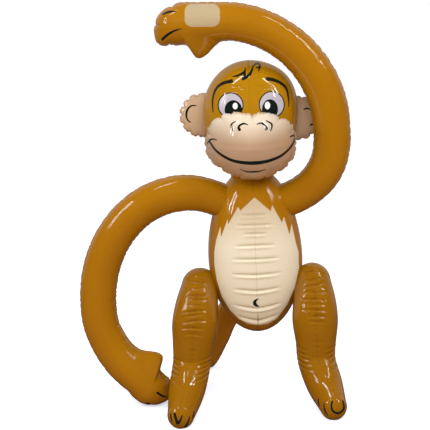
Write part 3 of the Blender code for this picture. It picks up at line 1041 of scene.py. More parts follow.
class WeldEdges:
    """Makes the thin wavy edge of welded film that stands out along a seam, by Geometry Nodes."""

    OUTWARD = "outward"

    def __init__(self) -> None:
        """Makes the tree, once."""
        self.tree = self.make_tree()

    def make_tree(self) -> bpy.types.NodeTree:
        """The tree: a path with outward directions becomes a thin flat ribbon that stands on it.

        Returns:
            The tree.
        """
        inputs = {"Geometry": GEOMETRY, "Width": 0.0022, "Thickness": 0.0004, "Wave": 0.4, "Seed": 1.0}
        inputs["Finish"] = MATERIAL
        tree, nodes, given = new_group("weld edge", inputs, "Geometry", GEOMETRY, "GeometryNodeTree")
        outward = nodes.named(self.OUTWARD, "FLOAT_VECTOR")
        path = nodes.add("GeometryNodeMeshToCurve", Mesh=given["Geometry"]).outputs["Curve"]
        turned = nodes.add("GeometryNodeSetCurveNormal", {"mode": "FREE"}, Curve=path, Normal=outward)
        pattern = {"Scale": 110.0, "Detail": 1.0, "W": given["Seed"]}
        noise = nodes.add("ShaderNodeTexNoise", {"noise_dimensions": "4D"}, **pattern)
        swing = nodes.math("SUBTRACT", noise.outputs["Fac"], 0.5)
        swing = nodes.math("MULTIPLY", swing, given["Wave"])
        share = nodes.math("ADD", 1.0, nodes.math("MULTIPLY", swing, 2.0))
        sized = nodes.add("GeometryNodeSetCurveRadius", Curve=turned.outputs["Curve"], Radius=share)
        stand = nodes.math("MULTIPLY", nodes.math("MULTIPLY", given["Width"], 0.42), share)
        offset = nodes.scaled(outward, stand)
        moved = nodes.add("GeometryNodeSetPosition", Geometry=sized.outputs["Curve"], Offset=offset)
        size = {"Width": given["Width"], "Height": given["Thickness"]}
        strip = nodes.add("GeometryNodeCurvePrimitiveQuadrilateral", **size).outputs["Curve"]
        nodes.finish(nodes.swept(moved.outputs["Geometry"], strip, share), given["Finish"])
        return tree

    def build(
        self,
        name: str,
        paths: list[tuple[np.ndarray, np.ndarray, bool]],
        finish: bpy.types.Material,
        *,
        width: float,
        wave: float,
        seed: float,
    ) -> bpy.types.Object:
        """Makes the weld edge of one piece.

        Args:
            name: the edge's name.
            paths: for each stretch its points, its outward directions, and whether it closes on itself.
            finish: its material.
            width: how far it stands out, in millimetres.
            wave: how much its width changes.
            seed: what the changes are drawn from.

        Returns:
            The object, at the origin, with its place in its mesh.
        """
        points, outs, edges = [], [], []
        for path, outward, closed in paths:
            start = sum(len(done) for done in points)
            count = len(path)
            edges += [(start + i, start + i + 1) for i in range(count - 1)]
            if closed:
                edges.append((start + count - 1, start))
            points.append((path + SHIFT) * MM)
            outs.append(outward)
        mesh = bpy.data.meshes.new(name)
        mesh.from_pydata(np.vstack(points).tolist(), edges, [])
        layer = mesh.attributes.new(self.OUTWARD, "FLOAT_VECTOR", "POINT")
        layer.data.foreach_set("vector", np.vstack(outs).astype(np.float32).ravel())
        made = bpy.data.objects.new(name, mesh)
        bpy.context.scene.collection.objects.link(made)
        values = {"Width": width * MM, "Wave": wave, "Seed": seed, "Finish": finish}
        return made_plain(made, self.tree, values)


def made_plain(made: bpy.types.Object, tree: bpy.types.NodeTree, values: dict) -> bpy.types.Object:
    """Runs a Geometry Nodes tree on an object and keeps its result as the object's own mesh.

    Args:
        made: the object that the tree starts from.
        tree: the tree.
        values: the values of the tree's inputs, by name.

    Returns:
        The same object, with a plain mesh and no modifier.
    """
    modifier = made.modifiers.new("shape", "NODES")
    modifier.node_group = tree
    for item in tree.interface.items_tree:
        if item.item_type == "SOCKET" and item.in_out == "INPUT" and item.name in values:
            modifier[item.identifier] = values[item.name]
    bpy.context.view_layer.update()
    graph = bpy.context.evaluated_depsgraph_get()
    mesh = bpy.data.meshes.new_from_object(made.evaluated_get(graph))
    made.modifiers.remove(modifier)
    old = made.data
    made.data = mesh
    bpy.data.meshes.remove(old)
    mesh.name = made.name
    return made


# The figure's chambers


@dataclass
class Shop:
    """What every chamber is made with: the finishes and the weld edges."""

    finishes: dict[str, bpy.types.Material]
    welds: WeldEdges

    def hand_in(self, piece: bpy.types.Object, node: str | None = None) -> None:
        """Hangs a piece on the body, hides the solid that it replaces, and logs its faces.

        Args:
            piece: the finished object.
            node: the solid that it replaces, if any.
        """
        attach(piece, "root")
        if node:
            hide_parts(node)
        log.info("%s: %d faces", piece.name, len(piece.data.polygons))

    def weld(self, name: str, paths: list, slot: Slot, *, width: float, wave: float, seed: float) -> None:
        """Adds the weld edges of a chamber.

        Args:
            name: the chamber's name.
            paths: the stretches, as WeldEdges.build takes them.
            slot: the record's slot of its finish.
            width: how far the edges stand out, in millimetres.
            wave: how much their width changes.
            seed: what the changes are drawn from.
        """
        finish = self.finishes["orange edge" if slot is Slot.ORANGE else "peach edge"]
        edge = self.welds.build(f"{name}_weld", paths, finish, width=width, wave=wave, seed=seed)
        self.hand_in(edge)


@dataclass
class Torso:
    """The egg-shaped belly chamber with its neck."""

    width: float = 152.0
    depth: float = 136.0
    bottom: float = 109.0
    lower: float = 126.0
    upper: float = 144.0
    neck: float = 68.5
    neck_top: float = 393.0
    fine: float = 1.25
    coarse: float = 2.4
    crease_depth: float = 3.4
    crease_width: float = 1.35
    crease_lip: float = 0.5
    slack: float = 0.03
    slack_z: float = 300.0
    crease_rows: tuple = (214.7, 224.9, 233.6, 245.3, 259.0, 275.0, 291.0, 308.6, 320.8)
    crease_reach: tuple = (13.5, 19.0, 12.0, 20.0, 24.0, 25.0, 24.0, 24.0, 20.0)
    crease_bow: tuple = (0.0, 0.0, 0.0, 0.0, 0.02, 0.05, 0.08, 0.13, 0.2)

    def middle_z(self) -> float:
        """The height of the widest ring."""
        return self.bottom + self.lower

    def shell(self) -> Ball:
        """The lower and middle part of the chamber, as limbs lie against it."""
        return Ball((0, 0, self.middle_z()), (self.width / 2, self.depth / 2, self.lower))

    def inside(self, points: np.ndarray) -> np.ndarray:
        """How far out points are from the chamber's middle.

        Args:
            points: the points, with x, y, z along the last axis.

        Returns:
            The distances: below 1 inside the chamber and above 1 outside it.
        """
        rise = points[..., 2] - self.middle_z()
        height = np.where(rise > 0, self.upper, self.lower)
        across = (points[..., 0] / (self.width / 2)) ** 2 + (points[..., 1] / (self.depth / 2)) ** 2
        return np.sqrt(across + (rise / height) ** 2)

    def profile(self) -> np.ndarray:
        """The side of the chamber.

        Returns:
            Its (radius, z) from its lowest point up.
        """
        half, neck = self.width / 2, self.neck / 2
        shoulder = math.acos(neck / half)
        low = np.linspace(-math.pi / 2, 0, 120)
        high = np.linspace(0, shoulder, 100)[1:]
        lower = np.column_stack([half * np.cos(low), self.middle_z() + self.lower * np.sin(low)])
        upper = np.column_stack([half * np.cos(high), self.middle_z() + self.upper * np.sin(high)])
        lower[0, 0] = 0.4
        return np.vstack([lower, upper, [(neck, self.neck_top)]])

    def make(self, shop: Shop) -> None:
        """Builds the chamber, its folds and printing, and its weld edges.

        Args:
            shop: what it is made with.
        """
        profile = self.profile()
        rows = spaced(0.3, lengths(profile)[-1], 14, 300, self.fine, 1.9)
        half = self.width / 2
        angles = spaced(-math.pi, math.pi, -1.25, 1.25, self.fine / half, self.coarse / half)[:-1]
        skin = turned_skin(profile, rows, angles, self.depth / self.width)
        slack = np.exp(-(((skin.rings[..., 2] - self.slack_z) / 55) ** 2)) * (skin.rings[..., 0] > 0)
        skin.rings[..., 0] *= 1 - self.slack * slack
        self.press_folds(skin)
        self.print_belly(skin)
        skin.mark(Mark.SEAM, np.abs(skin.rings[..., 0]))
        shop.hand_in(skin.build("torso_film", shop.finishes["belly"]), "torso")
        self.weld(skin, angles, shop)

    def press_folds(self, skin: Skin) -> None:
        """Presses the folds across the front seam and the gathers down the back seam.

        Args:
            skin: the chamber's skin.
        """
        x, y, z = np.moveaxis(skin.rings, -1, 0)
        down = DRAWING.down(skin.rings, 258)
        front = y < 0
        depth = np.zeros(x.shape)
        for row, reach, bow in zip(self.crease_rows, self.crease_reach, self.crease_bow):
            run = np.clip(np.abs(x) / (reach * DRAWING.unit), 0, 1)
            fade = (1 - run**2) ** 0.8
            off = (down - row) * DRAWING.unit + bow * np.abs(x) ** 1.5 / 4
            depth = depth + fade * crease(off, self.crease_depth, self.crease_width, self.crease_lip)
        depth = np.where(front, depth, 0)
        back = Folds.scattered(130, 370, spacing=15, reach=26, depth=1.5, width=1.4, seed=11)
        depth = np.where(front, depth, back.depths(z, x))
        skin.fold(depth)

    def print_belly(self, skin: Skin) -> None:
        """Prints the pale belly with its jagged upper edge, and the navel.

        Args:
            skin: the chamber's skin.
        """
        outline = (
            (254.5, 197.4), (240.2, 210.9), (238.2, 206.5), (227.9, 224.9), (227.7, 218.6), (221.0, 237.7),
            (220.5, 226.0), (216.2, 240.0), (214.2, 252.0), (214.4, 265.0), (216.8, 280.0), (222.0, 297.0),
            (230.0, 310.0), (239.0, 319.0), (248.0, 324.0), (258.5, 325.5), (268.0, 323.8), (277.0, 318.5),
            (287.0, 305.0), (295.0, 287.0), (299.0, 268.0), (298.6, 252.0), (296.0, 243.0), (291.6, 223.6),
            (289.6, 234.5), (284.0, 216.6), (282.0, 222.6), (272.2, 205.0), (270.6, 211.2),
        )
        navel = (
            (260.3, 298.4), (255.8, 299.0), (253.2, 301.5), (253.4, 305.0), (256.8, 306.8), (259.4, 306.3),
            (256.9, 304.2), (256.4, 301.8), (257.8, 299.8),
        )
        printed(skin, Mark.PATCH, [Area(outline, smooth=False)])
        printed(skin, Mark.INK, [Area(navel)])

    def weld(self, skin: Skin, angles: np.ndarray, shop: Shop) -> None:
        """Adds the weld edges down the front, from under the belly print, and down the back.

        Args:
            skin: the chamber's skin.
            angles: its columns, in radians from the front.
            shop: what it is made with.
        """
        front = int(np.argmin(np.abs(angles)))
        out = skin.outward()
        height = skin.rings[..., 2]
        low = height[:, front] < 150
        under = skin.rings[low, front], out[low, front], False
        behind = (height[:, 0] > 112) & (height[:, 0] < 384)
        back = skin.rings[behind, 0], out[behind, 0], False
        shop.weld("torso", [under, back], Slot.ORANGE, width=1.5, wave=0.4, seed=2.0)


@dataclass
class Head:
    """The round chamber on the neck, with its printed eyes, brows and tuft of hair."""

    width: float = 150.0
    depth: float = 144.0
    height: float = 168.0
    z: float = 463.0
    rim: float = 1.1
    puckers: tuple = (
        (85.6, -19, 8, 0.9), (88.0, -13, 9, 1.1), (91.0, -19, 9, 1.0), (94.2, -15, 8, 1.1),
        (97.4, -13, 6, 0.9), (101.0, -14, 5, 0.8), (86.0, 17, 9, 1.0), (88.8, 24, 9, 1.0),
        (91.8, 16, 8, 1.1), (95.6, 13, 6, 0.9), (99.6, 12, 5, 0.8),
    )

    def shell(self) -> Ball:
        """The chamber as the muzzle and the ears lie against it."""
        return Ball((0, 0, self.z), (self.width / 2, self.depth / 2, self.height / 2))

    def make(self, shop: Shop) -> None:
        """Builds the chamber, its folds and printing, and its weld edge.

        Args:
            shop: what it is made with.
        """
        turn = np.linspace(-math.pi / 2, math.pi / 2, 400)
        profile = np.column_stack([self.width / 2 * np.cos(turn), self.z + self.height / 2 * np.sin(turn)])
        profile[0, 0] = profile[-1, 0] = 0.3
        total = lengths(profile)[-1]
        rows = spaced(0.3, total - 0.3, 0.42 * total, 0.86 * total, 0.85, 2.2)
        half = self.width / 2
        angles = spaced(-math.pi, math.pi, -0.85, 0.85, 0.8 / half, 2.4 / half)[:-1]
        skin = turned_skin(profile, rows, angles, self.depth / self.width)
        self.fill_out(skin)
        self.press_folds(skin)
        self.print_face(skin)
        skin.mark(Mark.SEAM, np.abs(skin.rings[..., 0]))
        shop.hand_in(skin.build("head_film", shop.finishes["face"]), "head")
        behind = skin.rings[..., 2][:, 0] > 392
        front = int(np.argmin(np.abs(angles)))
        out = skin.outward()
        top = skin.rings[..., 2][:, front] > 535
        back = skin.rings[behind, 0], out[behind, 0], False
        crown = skin.rings[top, front], out[top, front], False
        shop.weld("head", [back, crown], Slot.ORANGE, width=1.2, wave=0.35, seed=3.0)

    def fill_out(self, skin: Skin) -> None:
        """Fills the chamber out at its upper right, where the air has pushed it past the round.

        Args:
            skin: the chamber's skin.
        """
        x, z = skin.rings[..., 0], skin.rings[..., 2] - self.z
        turn = np.degrees(np.arctan2(z, x))
        share = np.hypot(x / self.width, z / self.height) * 2
        grow = 0.068 * np.exp(-(((turn - 42) / 28) ** 2)) + 0.016 * np.exp(-(((turn - 105) / 45) ** 2))
        grow = 1 + grow * share**2
        skin.rings[..., 0] = x * grow
        skin.rings[..., 2] = self.z + z * grow

    def press_folds(self, skin: Skin) -> None:
        """Presses the small puckers across the forehead's seam and those down the back.

        Args:
            skin: the chamber's skin.
        """
        x, y, z = np.moveaxis(skin.rings, -1, 0)
        down = DRAWING.down(skin.rings, 254) * DRAWING.unit
        depth = np.zeros(x.shape)
        for row, middle, reach, deep in self.puckers:
            share = np.exp(-(((x - middle) / reach) ** 2))
            off = down - row * DRAWING.unit - 0.02 * (x - middle) ** 2 / reach
            depth = depth + share * crease(off, deep, 1.3, 0.7)
        depth = np.where(y < 0, depth, 0)
        back = Folds.scattered(395, 535, spacing=13, reach=22, depth=1.2, width=1.3, seed=21)
        skin.fold(np.maximum(depth, np.where(y > 0, back.depths(z, x), 0)))

    def print_face(self, skin: Skin) -> None:
        """Prints the eyes, the brows and the tuft of hair.

        Args:
            skin: the chamber's skin.
        """
        whites = Oval((230.6, 105.3), (11.9, 11.9)), Oval((271.8, 104.6), (11.9, 12.5))
        pupils = Oval((233.3, 110.0), (8.7, 9.8)), Oval((270.0, 109.3), (8.0, 10.0))
        glints = Oval((235.2, 106.0), (2.5, 3.3)), Oval((267.5, 105.5), (2.7, 3.8))
        rims = [Oval(white.middle, tuple(radius + self.rim for radius in white.radii)) for white in whites]
        brows = [
            Stroke(
                ((213.0, 111.8), (212.6, 100.2), (215.7, 89.5), (222.0, 83.7), (231.3, 81.0)),
                (0.7, 1.5, 2.7),
            ),
            Stroke(
                ((267.5, 78.8), (273.8, 80.0), (280.9, 83.2), (286.3, 88.6), (288.5, 98.4), (288.8, 106.4)),
                (2.7, 1.9, 0.7),
            ),
        ]
        hair = [
            Stroke(((232.7, 76.5), (237.5, 75.6), (242.5, 73.4)), (0.7, 1.6, 1.8)),
            Stroke(((242.5, 73.4), (244.6, 71.2), (245.6, 68.0)), (1.8, 1.4, 0.5)),
            Stroke(((245.3, 69.5), (244.8, 74.0), (243.0, 79.2)), (0.8, 1.8, 1.6)),
            Stroke(
                ((243.0, 79.2), (246.5, 77.2), (249.6, 74.3), (251.8, 70.5), (253.2, 65.4)),
                (1.8, 2.2, 0.6),
            ),
            Stroke(((252.9, 66.2), (255.2, 64.2), (257.7, 63.1)), (0.7, 1.3, 1.4)),
            Stroke(((257.7, 63.1), (259.4, 64.6), (259.9, 66.7), (258.6, 71.2)), (1.4, 1.6, 0.5)),
            Stroke(((256.2, 67.4), (257.8, 67.8), (259.6, 67.0)), (0.6, 1.2, 1.0)),
        ]
        inked = [Within(rim, white, outside=True) for rim, white in zip(rims, whites)]
        inked += [Within(pupil, white) for pupil, white in zip(pupils, whites)]
        printed(skin, Mark.WHITE, whites)
        printed(skin, Mark.INK, [*inked, *brows, *hair])
        printed(skin, Mark.GLINT, glints)


@dataclass
class Pillow:
    """A flat pillow that faces the front, puckered all round its welded edge."""

    name: str
    middle: tuple[float, float, float]
    outline: tuple
    notches: tuple
    notch_depth: float
    front_swell: float
    back_swell: float
    wrap: float = 0.0
    chin_back: float = 0.0
    fine: float = 0.85
    columns: int = 420
    gathers: int = 60
    gather_depth: float = 1.5
    gather_reach: float = 15.0
    gather_width: float = 1.1
    seed: int = 31
    strokes: tuple = ()

    def reach(self, angle: np.ndarray) -> np.ndarray:
        """How far the welded edge is from the middle, before its notches.

        Args:
            angle: the angle of each column, in radians.

        Returns:
            The distances.
        """
        corners = np.array(self.outline, dtype=float)
        places = np.arctan2(corners[:, 1], corners[:, 0])
        order = np.argsort(places)
        far = np.hypot(corners[:, 0], corners[:, 1])[order]
        places = places[order]
        wide = np.concatenate([places - math.tau, places, places + math.tau])
        values = np.interp(angle, wide, np.tile(far, 3))
        kernel = np.hanning(15)
        kernel /= kernel.sum()
        return np.convolve(np.concatenate([values[-7:], values, values[:7]]), kernel, "valid")

    def make(self, shop: Shop, finish: str, against: Ball) -> None:
        """Builds the pillow against the head.

        Args:
            shop: what it is made with.
            finish: the name of its finish.
            against: the head that it lies on.
        """
        angle = np.arange(self.columns) / self.columns * math.tau - math.pi
        reach = self.reach(angle)
        size = float(reach.mean())
        front = spaced(0.006, math.pi / 2, 0, 2, self.fine / size, 2.5 / size)
        back = math.pi - spaced(0.02, math.pi / 2, 1.3, 2, self.fine * 1.6 / size, 4 / size)[::-1][1:]
        turn = np.concatenate([front, back])[:, None]
        share = np.sin(turn)
        notch = np.zeros(angle.shape)
        for at, deep in self.notches:
            off = (angle - math.radians(at) + math.pi) % math.tau - math.pi
            notch = np.maximum(notch, deep * np.exp(-np.abs(off) * reach / 3.2))
        radius = (reach[None, :] - self.notch_depth * notch[None, :] * share**5) * share
        x, z = radius * np.cos(angle), radius * np.sin(angle)
        half_width = np.abs(np.array(self.outline)[:, 0]).max()
        half_height = np.abs(np.array(self.outline)[:, 1]).max()
        base = self.wrap * (x / half_width) ** 2 + self.chin_back * np.maximum(0, -z / half_height)
        swell = np.where(np.cos(turn) > 0, self.front_swell, self.back_swell)
        y = base - swell * np.cos(turn)
        skin = Skin(np.stack([x, y, z], axis=-1) + np.array(self.middle))
        self.press_gathers(skin, angle, reach, turn, share)
        printed(skin, Mark.INK, self.strokes)
        edge = len(front) - 1
        out = np.stack([np.cos(angle), 0 * angle, np.sin(angle)], axis=-1)
        path = skin.rings[edge].copy()
        skin.rings[edge + 1 :] = against.keep_out(skin.rings[edge + 1 :])
        skin.rings[: edge + 1] = against.keep_out(skin.rings[: edge + 1], 1.2)
        shop.hand_in(skin.build(f"{self.name}_film", shop.finishes[finish]), self.name)
        outside = np.linalg.norm((path - np.array(against.middle)) / np.array(against.radii), axis=1) > 0.995
        shop.weld(self.name, stretches(path, out, outside), Slot.PEACH, width=1.4, wave=0.5, seed=self.seed)

    def press_gathers(
        self, skin: Skin, angle: np.ndarray, reach: np.ndarray, turn: np.ndarray, share: np.ndarray
    ) -> None:
        """Presses the short gathers that run in from the welded edge.

        Args:
            skin: the pillow's skin.
            angle: the angle of each column.
            reach: the edge's distance from the middle at each column.
            turn: the angle of each row from the front pole.
            share: how far out each row is.
        """
        around = lengths(np.column_stack([reach * np.cos(angle), reach * np.sin(angle)]))[None, :]
        whole = around[0, -1]
        away = np.abs(math.pi / 2 - turn) * reach[None, :] * 0.75
        sizes = {"reach": self.gather_reach, "depth": self.gather_depth, "width": self.gather_width}
        folds = Folds.scattered(0, whole, spacing=whole / self.gathers, seed=self.seed, **sizes)
        depth = folds.depths(around + 0 * away, away)
        for at, deep in self.notches:
            place = np.interp(math.radians(at), angle, around[0])
            off = np.abs(around - place)
            fade = np.clip(1 - away / (self.gather_reach * 1.5), 0, 1) ** 1.5
            depth = np.maximum(depth, 2.4 * deep * fade * np.exp(-off / 1.6))
        skin.fold(depth * np.clip(share * 1.4 - 0.3, 0, 1))


def stretches(path: np.ndarray, out: np.ndarray, keep: np.ndarray) -> list[tuple]:
    """Cuts a closed path where it isn't kept.

    Args:
        path: the points of the closed path.
        out: the outward direction at each.
        keep: which of the points are kept.

    Returns:
        For each stretch its points, its outward directions, and whether it closes on itself.
    """
    if keep.all():
        return [(path, out, True)]
    start = int(np.argmin(keep))
    path, out, keep = (np.roll(values, -start, axis=0) for values in (path, out, keep))
    found, run = [], []
    for index, kept in enumerate([*keep, False]):
        if kept:
            run.append(index)
        elif run:
            if len(run) > 3:
                found.append((path[run], out[run], False))
            run = []
    return found


@dataclass(frozen=True)
class Hand:
    """The end of an arm: its outline in the frontal plane, seen from its palm's middle.

    The outline meets every line from the middle once.
    """

    middle: tuple[float, float]
    towards: float
    half: float
    outline: tuple
    taper: float = 3.0
    taper_over: float = 92.0
    arm_from: float = 2.4
    arm_blend: float = 0.6
    blend_angle: float = 7.0
    evened_over: int = 11

    def reach(self, angle: np.ndarray, back: np.ndarray) -> np.ndarray:
        """How far the plain end of the arm reaches.

        Args:
            angle: the angle from the way that the hand points, in radians.
            back: how far back along the arm the place is.

        Returns:
            The distance from the middle of the palm to the arm's own edge.
        """
        side = self.half - self.taper * eased(np.maximum(back, 0) / self.taper_over, ((0, 0), (1, 1)))
        along_side = side / np.maximum(np.abs(np.sin(angle)), 1e-3)
        return np.where(np.abs(angle) < math.pi / 2, self.half, along_side)

    def shape(self, skin: Skin) -> None:
        """Draws the round end of an arm out and in to the hand's outline, with its fingertips and thumb.

        Args:
            skin: the arm's skin.
        """
        corners = np.array(self.outline, dtype=float) - np.array(self.middle)
        turn = np.arctan2(corners[:, 1], corners[:, 0]) - math.radians(self.towards)
        turn = (turn + math.pi) % math.tau - math.pi
        order = np.argsort(turn)
        turn, far = turn[order], np.hypot(corners[:, 0], corners[:, 1])[order]
        grow = np.concatenate([[1, 1], far / self.reach(turn, -far * np.cos(turn)), [1, 1]])
        margin = math.radians(self.blend_angle)
        turn = np.concatenate([[-math.pi, turn[0] - margin], turn, [turn[-1] + margin, math.pi]])
        x, z = skin.rings[..., 0] - self.middle[0], skin.rings[..., 2] - self.middle[1]
        angle = (np.arctan2(z, x) - math.radians(self.towards) + math.pi) % math.tau - math.pi
        distance = np.hypot(x, z)
        share = np.clip(distance / self.reach(angle, -distance * np.cos(angle)), 0, 1.15)
        blend = (0, 0), (self.arm_from, 0), (self.arm_from + self.arm_blend, 1)
        near = 1 - eased(distance / self.half, blend)
        even = np.linspace(-math.pi, math.pi, 720)
        soft = np.hanning(self.evened_over)
        level = np.pad(np.interp(even, turn, grow), self.evened_over // 2, mode="edge")
        level = np.convolve(level, soft / soft.sum(), "valid")
        factor = 1 + (np.interp(angle, even, level) - 1) * share**3 * near
        skin.rings[..., 0] = self.middle[0] + x * factor
        skin.rings[..., 2] = self.middle[1] + z * factor


@dataclass
class Arm:
    """A long curved tube of film with a hand, welded along its inner and outer sides."""

    name: str
    points: list
    depths: tuple
    widths: tuple
    hand: Hand
    start: float
    folds: list
    prints: dict
    columns: int = 136
    step: float = 1.6
    fine: float = 0.8
    fine_over: float = 95.0

    def make(self, shop: Shop, torso: Torso) -> None:
        """Builds the arm, its folds and printing, and its weld edges.

        Args:
            shop: what it is made with.
            torso: the chamber that it stands out of.
        """
        flat = np.array(self.points)
        share = lengths(flat) / lengths(flat)[-1]
        y, half = eased(share, self.depths), eased(share, self.widths) / 2
        knots = np.column_stack([flat[:, 0], y, flat[:, 1], half])
        stations = curve_through(knots, 0.5)
        stations = stations[lengths(stations[:, :3]) >= self.start]
        far = lengths(stations[:, :3])
        rows = spaced(0, far[-1], far[-1] - self.fine_over, far[-1], self.fine, self.step)
        stations = np.column_stack([np.interp(rows, far, column) for column in stations.T])
        stations = with_round_ends(stations, self.fine)
        route, half = stations[:, :3], stations[:, 3]
        along = np.gradient(route, axis=0)
        side = np.cross(along, np.array([0.0, -1.0, 0.0]))
        skin = swept_skin(route, half, side, self.columns)
        self.hand.shape(skin)
        far = lengths(route)[:, None]
        depth = np.zeros(skin.rings.shape[:-1])
        for seam, folds in self.folds:
            away = around_seam(self.columns, seam)[None, :] * half[:, None]
            depth = np.maximum(depth, folds.depths(far, away))
        skin.fold(depth * np.clip(half / 12, 0, 1)[:, None])
        for seam in (0, 180):
            away = np.abs(around_seam(self.columns, seam))[None, :] * half[:, None]
            skin.mark(Mark.SEAM, away)
        for mark, shapes in self.prints.items():
            printed(skin, mark, shapes)
        out = skin.outward()
        skin.rings[..., 2] = np.maximum(skin.rings[..., 2], FLOOR_GAP)
        finish = shop.finishes["palm" if Mark.PATCH in self.prints else "orange"]
        shop.hand_in(skin.build(f"{self.name}_film", finish), self.name)
        loop = np.concatenate([skin.rings[:, 0], skin.rings[::-1, self.columns // 2]])
        outs = np.concatenate([out[:, 0], out[::-1, self.columns // 2]])
        keep = (torso.inside(loop) > 1.0) & (loop[:, 2] > WELD_FLOOR_GAP)
        shop.weld(self.name, stretches(loop, outs, keep), Slot.ORANGE, width=0.8, wave=0.7, seed=5)


@dataclass
class Leg:
    """A leg: its round top against the torso, bent at the knee, welded down its front and its back."""

    name: str
    side: float
    spreads: tuple[float, float, float]
    creases: tuple
    ankle_creases: tuple
    prints: list
    toe_y: float = -126.0
    hip_x: float = 91.0
    hip_z: float = 191.0
    columns: int = 144
    step: float = 1.2
    knee_fold: tuple[float, float, float] = (2.4, 1.15, 0.5)
    ankle_fold: tuple[float, float, float] = (1.3, 1.2, 0.5)
    ankle_reach: tuple = ((0, 0.0), (8, 0.05), (26, 1), (34, 1), (60, 0))
    puckers_to: float = 0.62

    def stations(self) -> np.ndarray:
        """The stations of the leg, with half widths.

        Returns:
            The x, y, z and half width of each, from the hip to the toe.
        """
        knee, ankle, toe = (self.hip_x + spread for spread in self.spreads)
        rows = (
            (self.hip_x, -14, self.hip_z, 59),
            ((self.hip_x + knee) / 2 + 1, -34, 163, 69),
            (knee, -46, 134, 73),
            ((knee + ankle) / 2, -50, 105, 65),
            (ankle, -54, 72, 60),
            ((ankle + toe) / 2, (self.toe_y - 38) / 2, 40, 57),
            (toe, self.toe_y, 18.8, 42),
        )
        return np.array([(self.side * x, y, z, width / 2) for x, y, z, width in rows])

    def make(self, shop: Shop, torso: Torso) -> None:
        """Builds the leg, its creases and printing, and its weld edges.

        Args:
            shop: what it is made with.
            torso: the chamber that it stands out of.
        """
        stations = with_round_ends(softened(curve_through(self.stations(), self.step), 29), self.step)
        route, half = stations[:, :3], stations[:, 3]
        side = np.tile(np.array([1.0, 0.0, 0.0]), (len(route), 1))
        skin = swept_skin(route, half, side, self.columns)
        if np.mean(skin.rings[:, self.columns // 4, 1] - route[:, 1]) > 0:
            skin.rings = np.roll(skin.rings[:, ::-1], 1, axis=1)
        away = around_seam(self.columns, 90)[None, :] * half[:, None]
        behind = around_seam(self.columns, 270)[None, :] * half[:, None]
        depth = self.fold_depths(skin, lengths(route)[:, None], away, behind)
        skin.fold(depth)
        skin.mark(Mark.SEAM, np.abs(away) + 0 * depth)
        skin.mark(Mark.SEAM, np.abs(behind) + 0 * depth)
        printed(skin, Mark.INK, self.prints)
        out = skin.outward()
        skin.rings = torso.shell().keep_out(skin.rings)
        skin.rings[..., 2] = np.maximum(skin.rings[..., 2], FLOOR_GAP)
        shop.hand_in(skin.build(f"{self.name}_film", shop.finishes["leg"]), self.name)
        back = 3 * self.columns // 4
        loop, outs = skin.rings[:, back], out[:, back]
        keep = (torso.inside(loop) > 1.02) & (loop[:, 2] > WELD_FLOOR_GAP)
        keep[0] = False
        shop.weld(self.name, stretches(loop, outs, keep), Slot.ORANGE, width=1.2, wave=0.5, seed=7)

    def fold_depths(self, skin: Skin, far: np.ndarray, away: np.ndarray, behind: np.ndarray) -> np.ndarray:
        """How deep the creases over the ankle and the knee and the puckers along both seams are.

        Args:
            skin: the leg's skin, before its folds.
            far: how far along the leg each row is.
            away: how far each point is from the front seam; its sign tells the two sides apart.
            behind: how far it is from the back seam.

        Returns:
            The depths.
        """
        left = self.side < 0
        down = DRAWING.down(skin.rings, 258) * DRAWING.unit
        depth = np.zeros(skin.rings.shape[:-1])
        share = eased(np.abs(away), self.ankle_reach)
        strength, width, lip = self.ankle_fold
        for row, deep, bow in self.ankle_creases:
            off = down - row * DRAWING.unit - bow * away**2 / 20
            depth = depth + share * crease(off, strength * deep, width, lip)
        draw = np.random.default_rng(81 if left else 82)
        strength, width, lip = self.knee_fold
        for row, reach, deep, bow in self.creases:
            middle, slope = draw.uniform(-3.5, 3.5), draw.uniform(-0.13, 0.13)
            run = np.clip(np.abs(away - middle) / (1.15 * reach * DRAWING.unit), 0, 1)
            off = down - row * DRAWING.unit - bow * away**2 / 20 - slope * (away - middle)
            depth = depth + (1 - run**2) * crease(off, strength * deep, width, lip)
        total = float(far[-1, 0])
        sizes = {"spacing": 8.5, "reach": 11, "depth": 0.8, "width": 1.2}
        front = Folds.scattered(20, self.puckers_to * total, seed=83 if left else 84, **sizes)
        sizes = {"spacing": 13, "reach": 20, "depth": 1.2, "width": 1.3}
        back = Folds.scattered(30, total - 30, seed=41 if left else 42, **sizes)
        return depth + front.depths(far, away) + back.depths(far, behind)


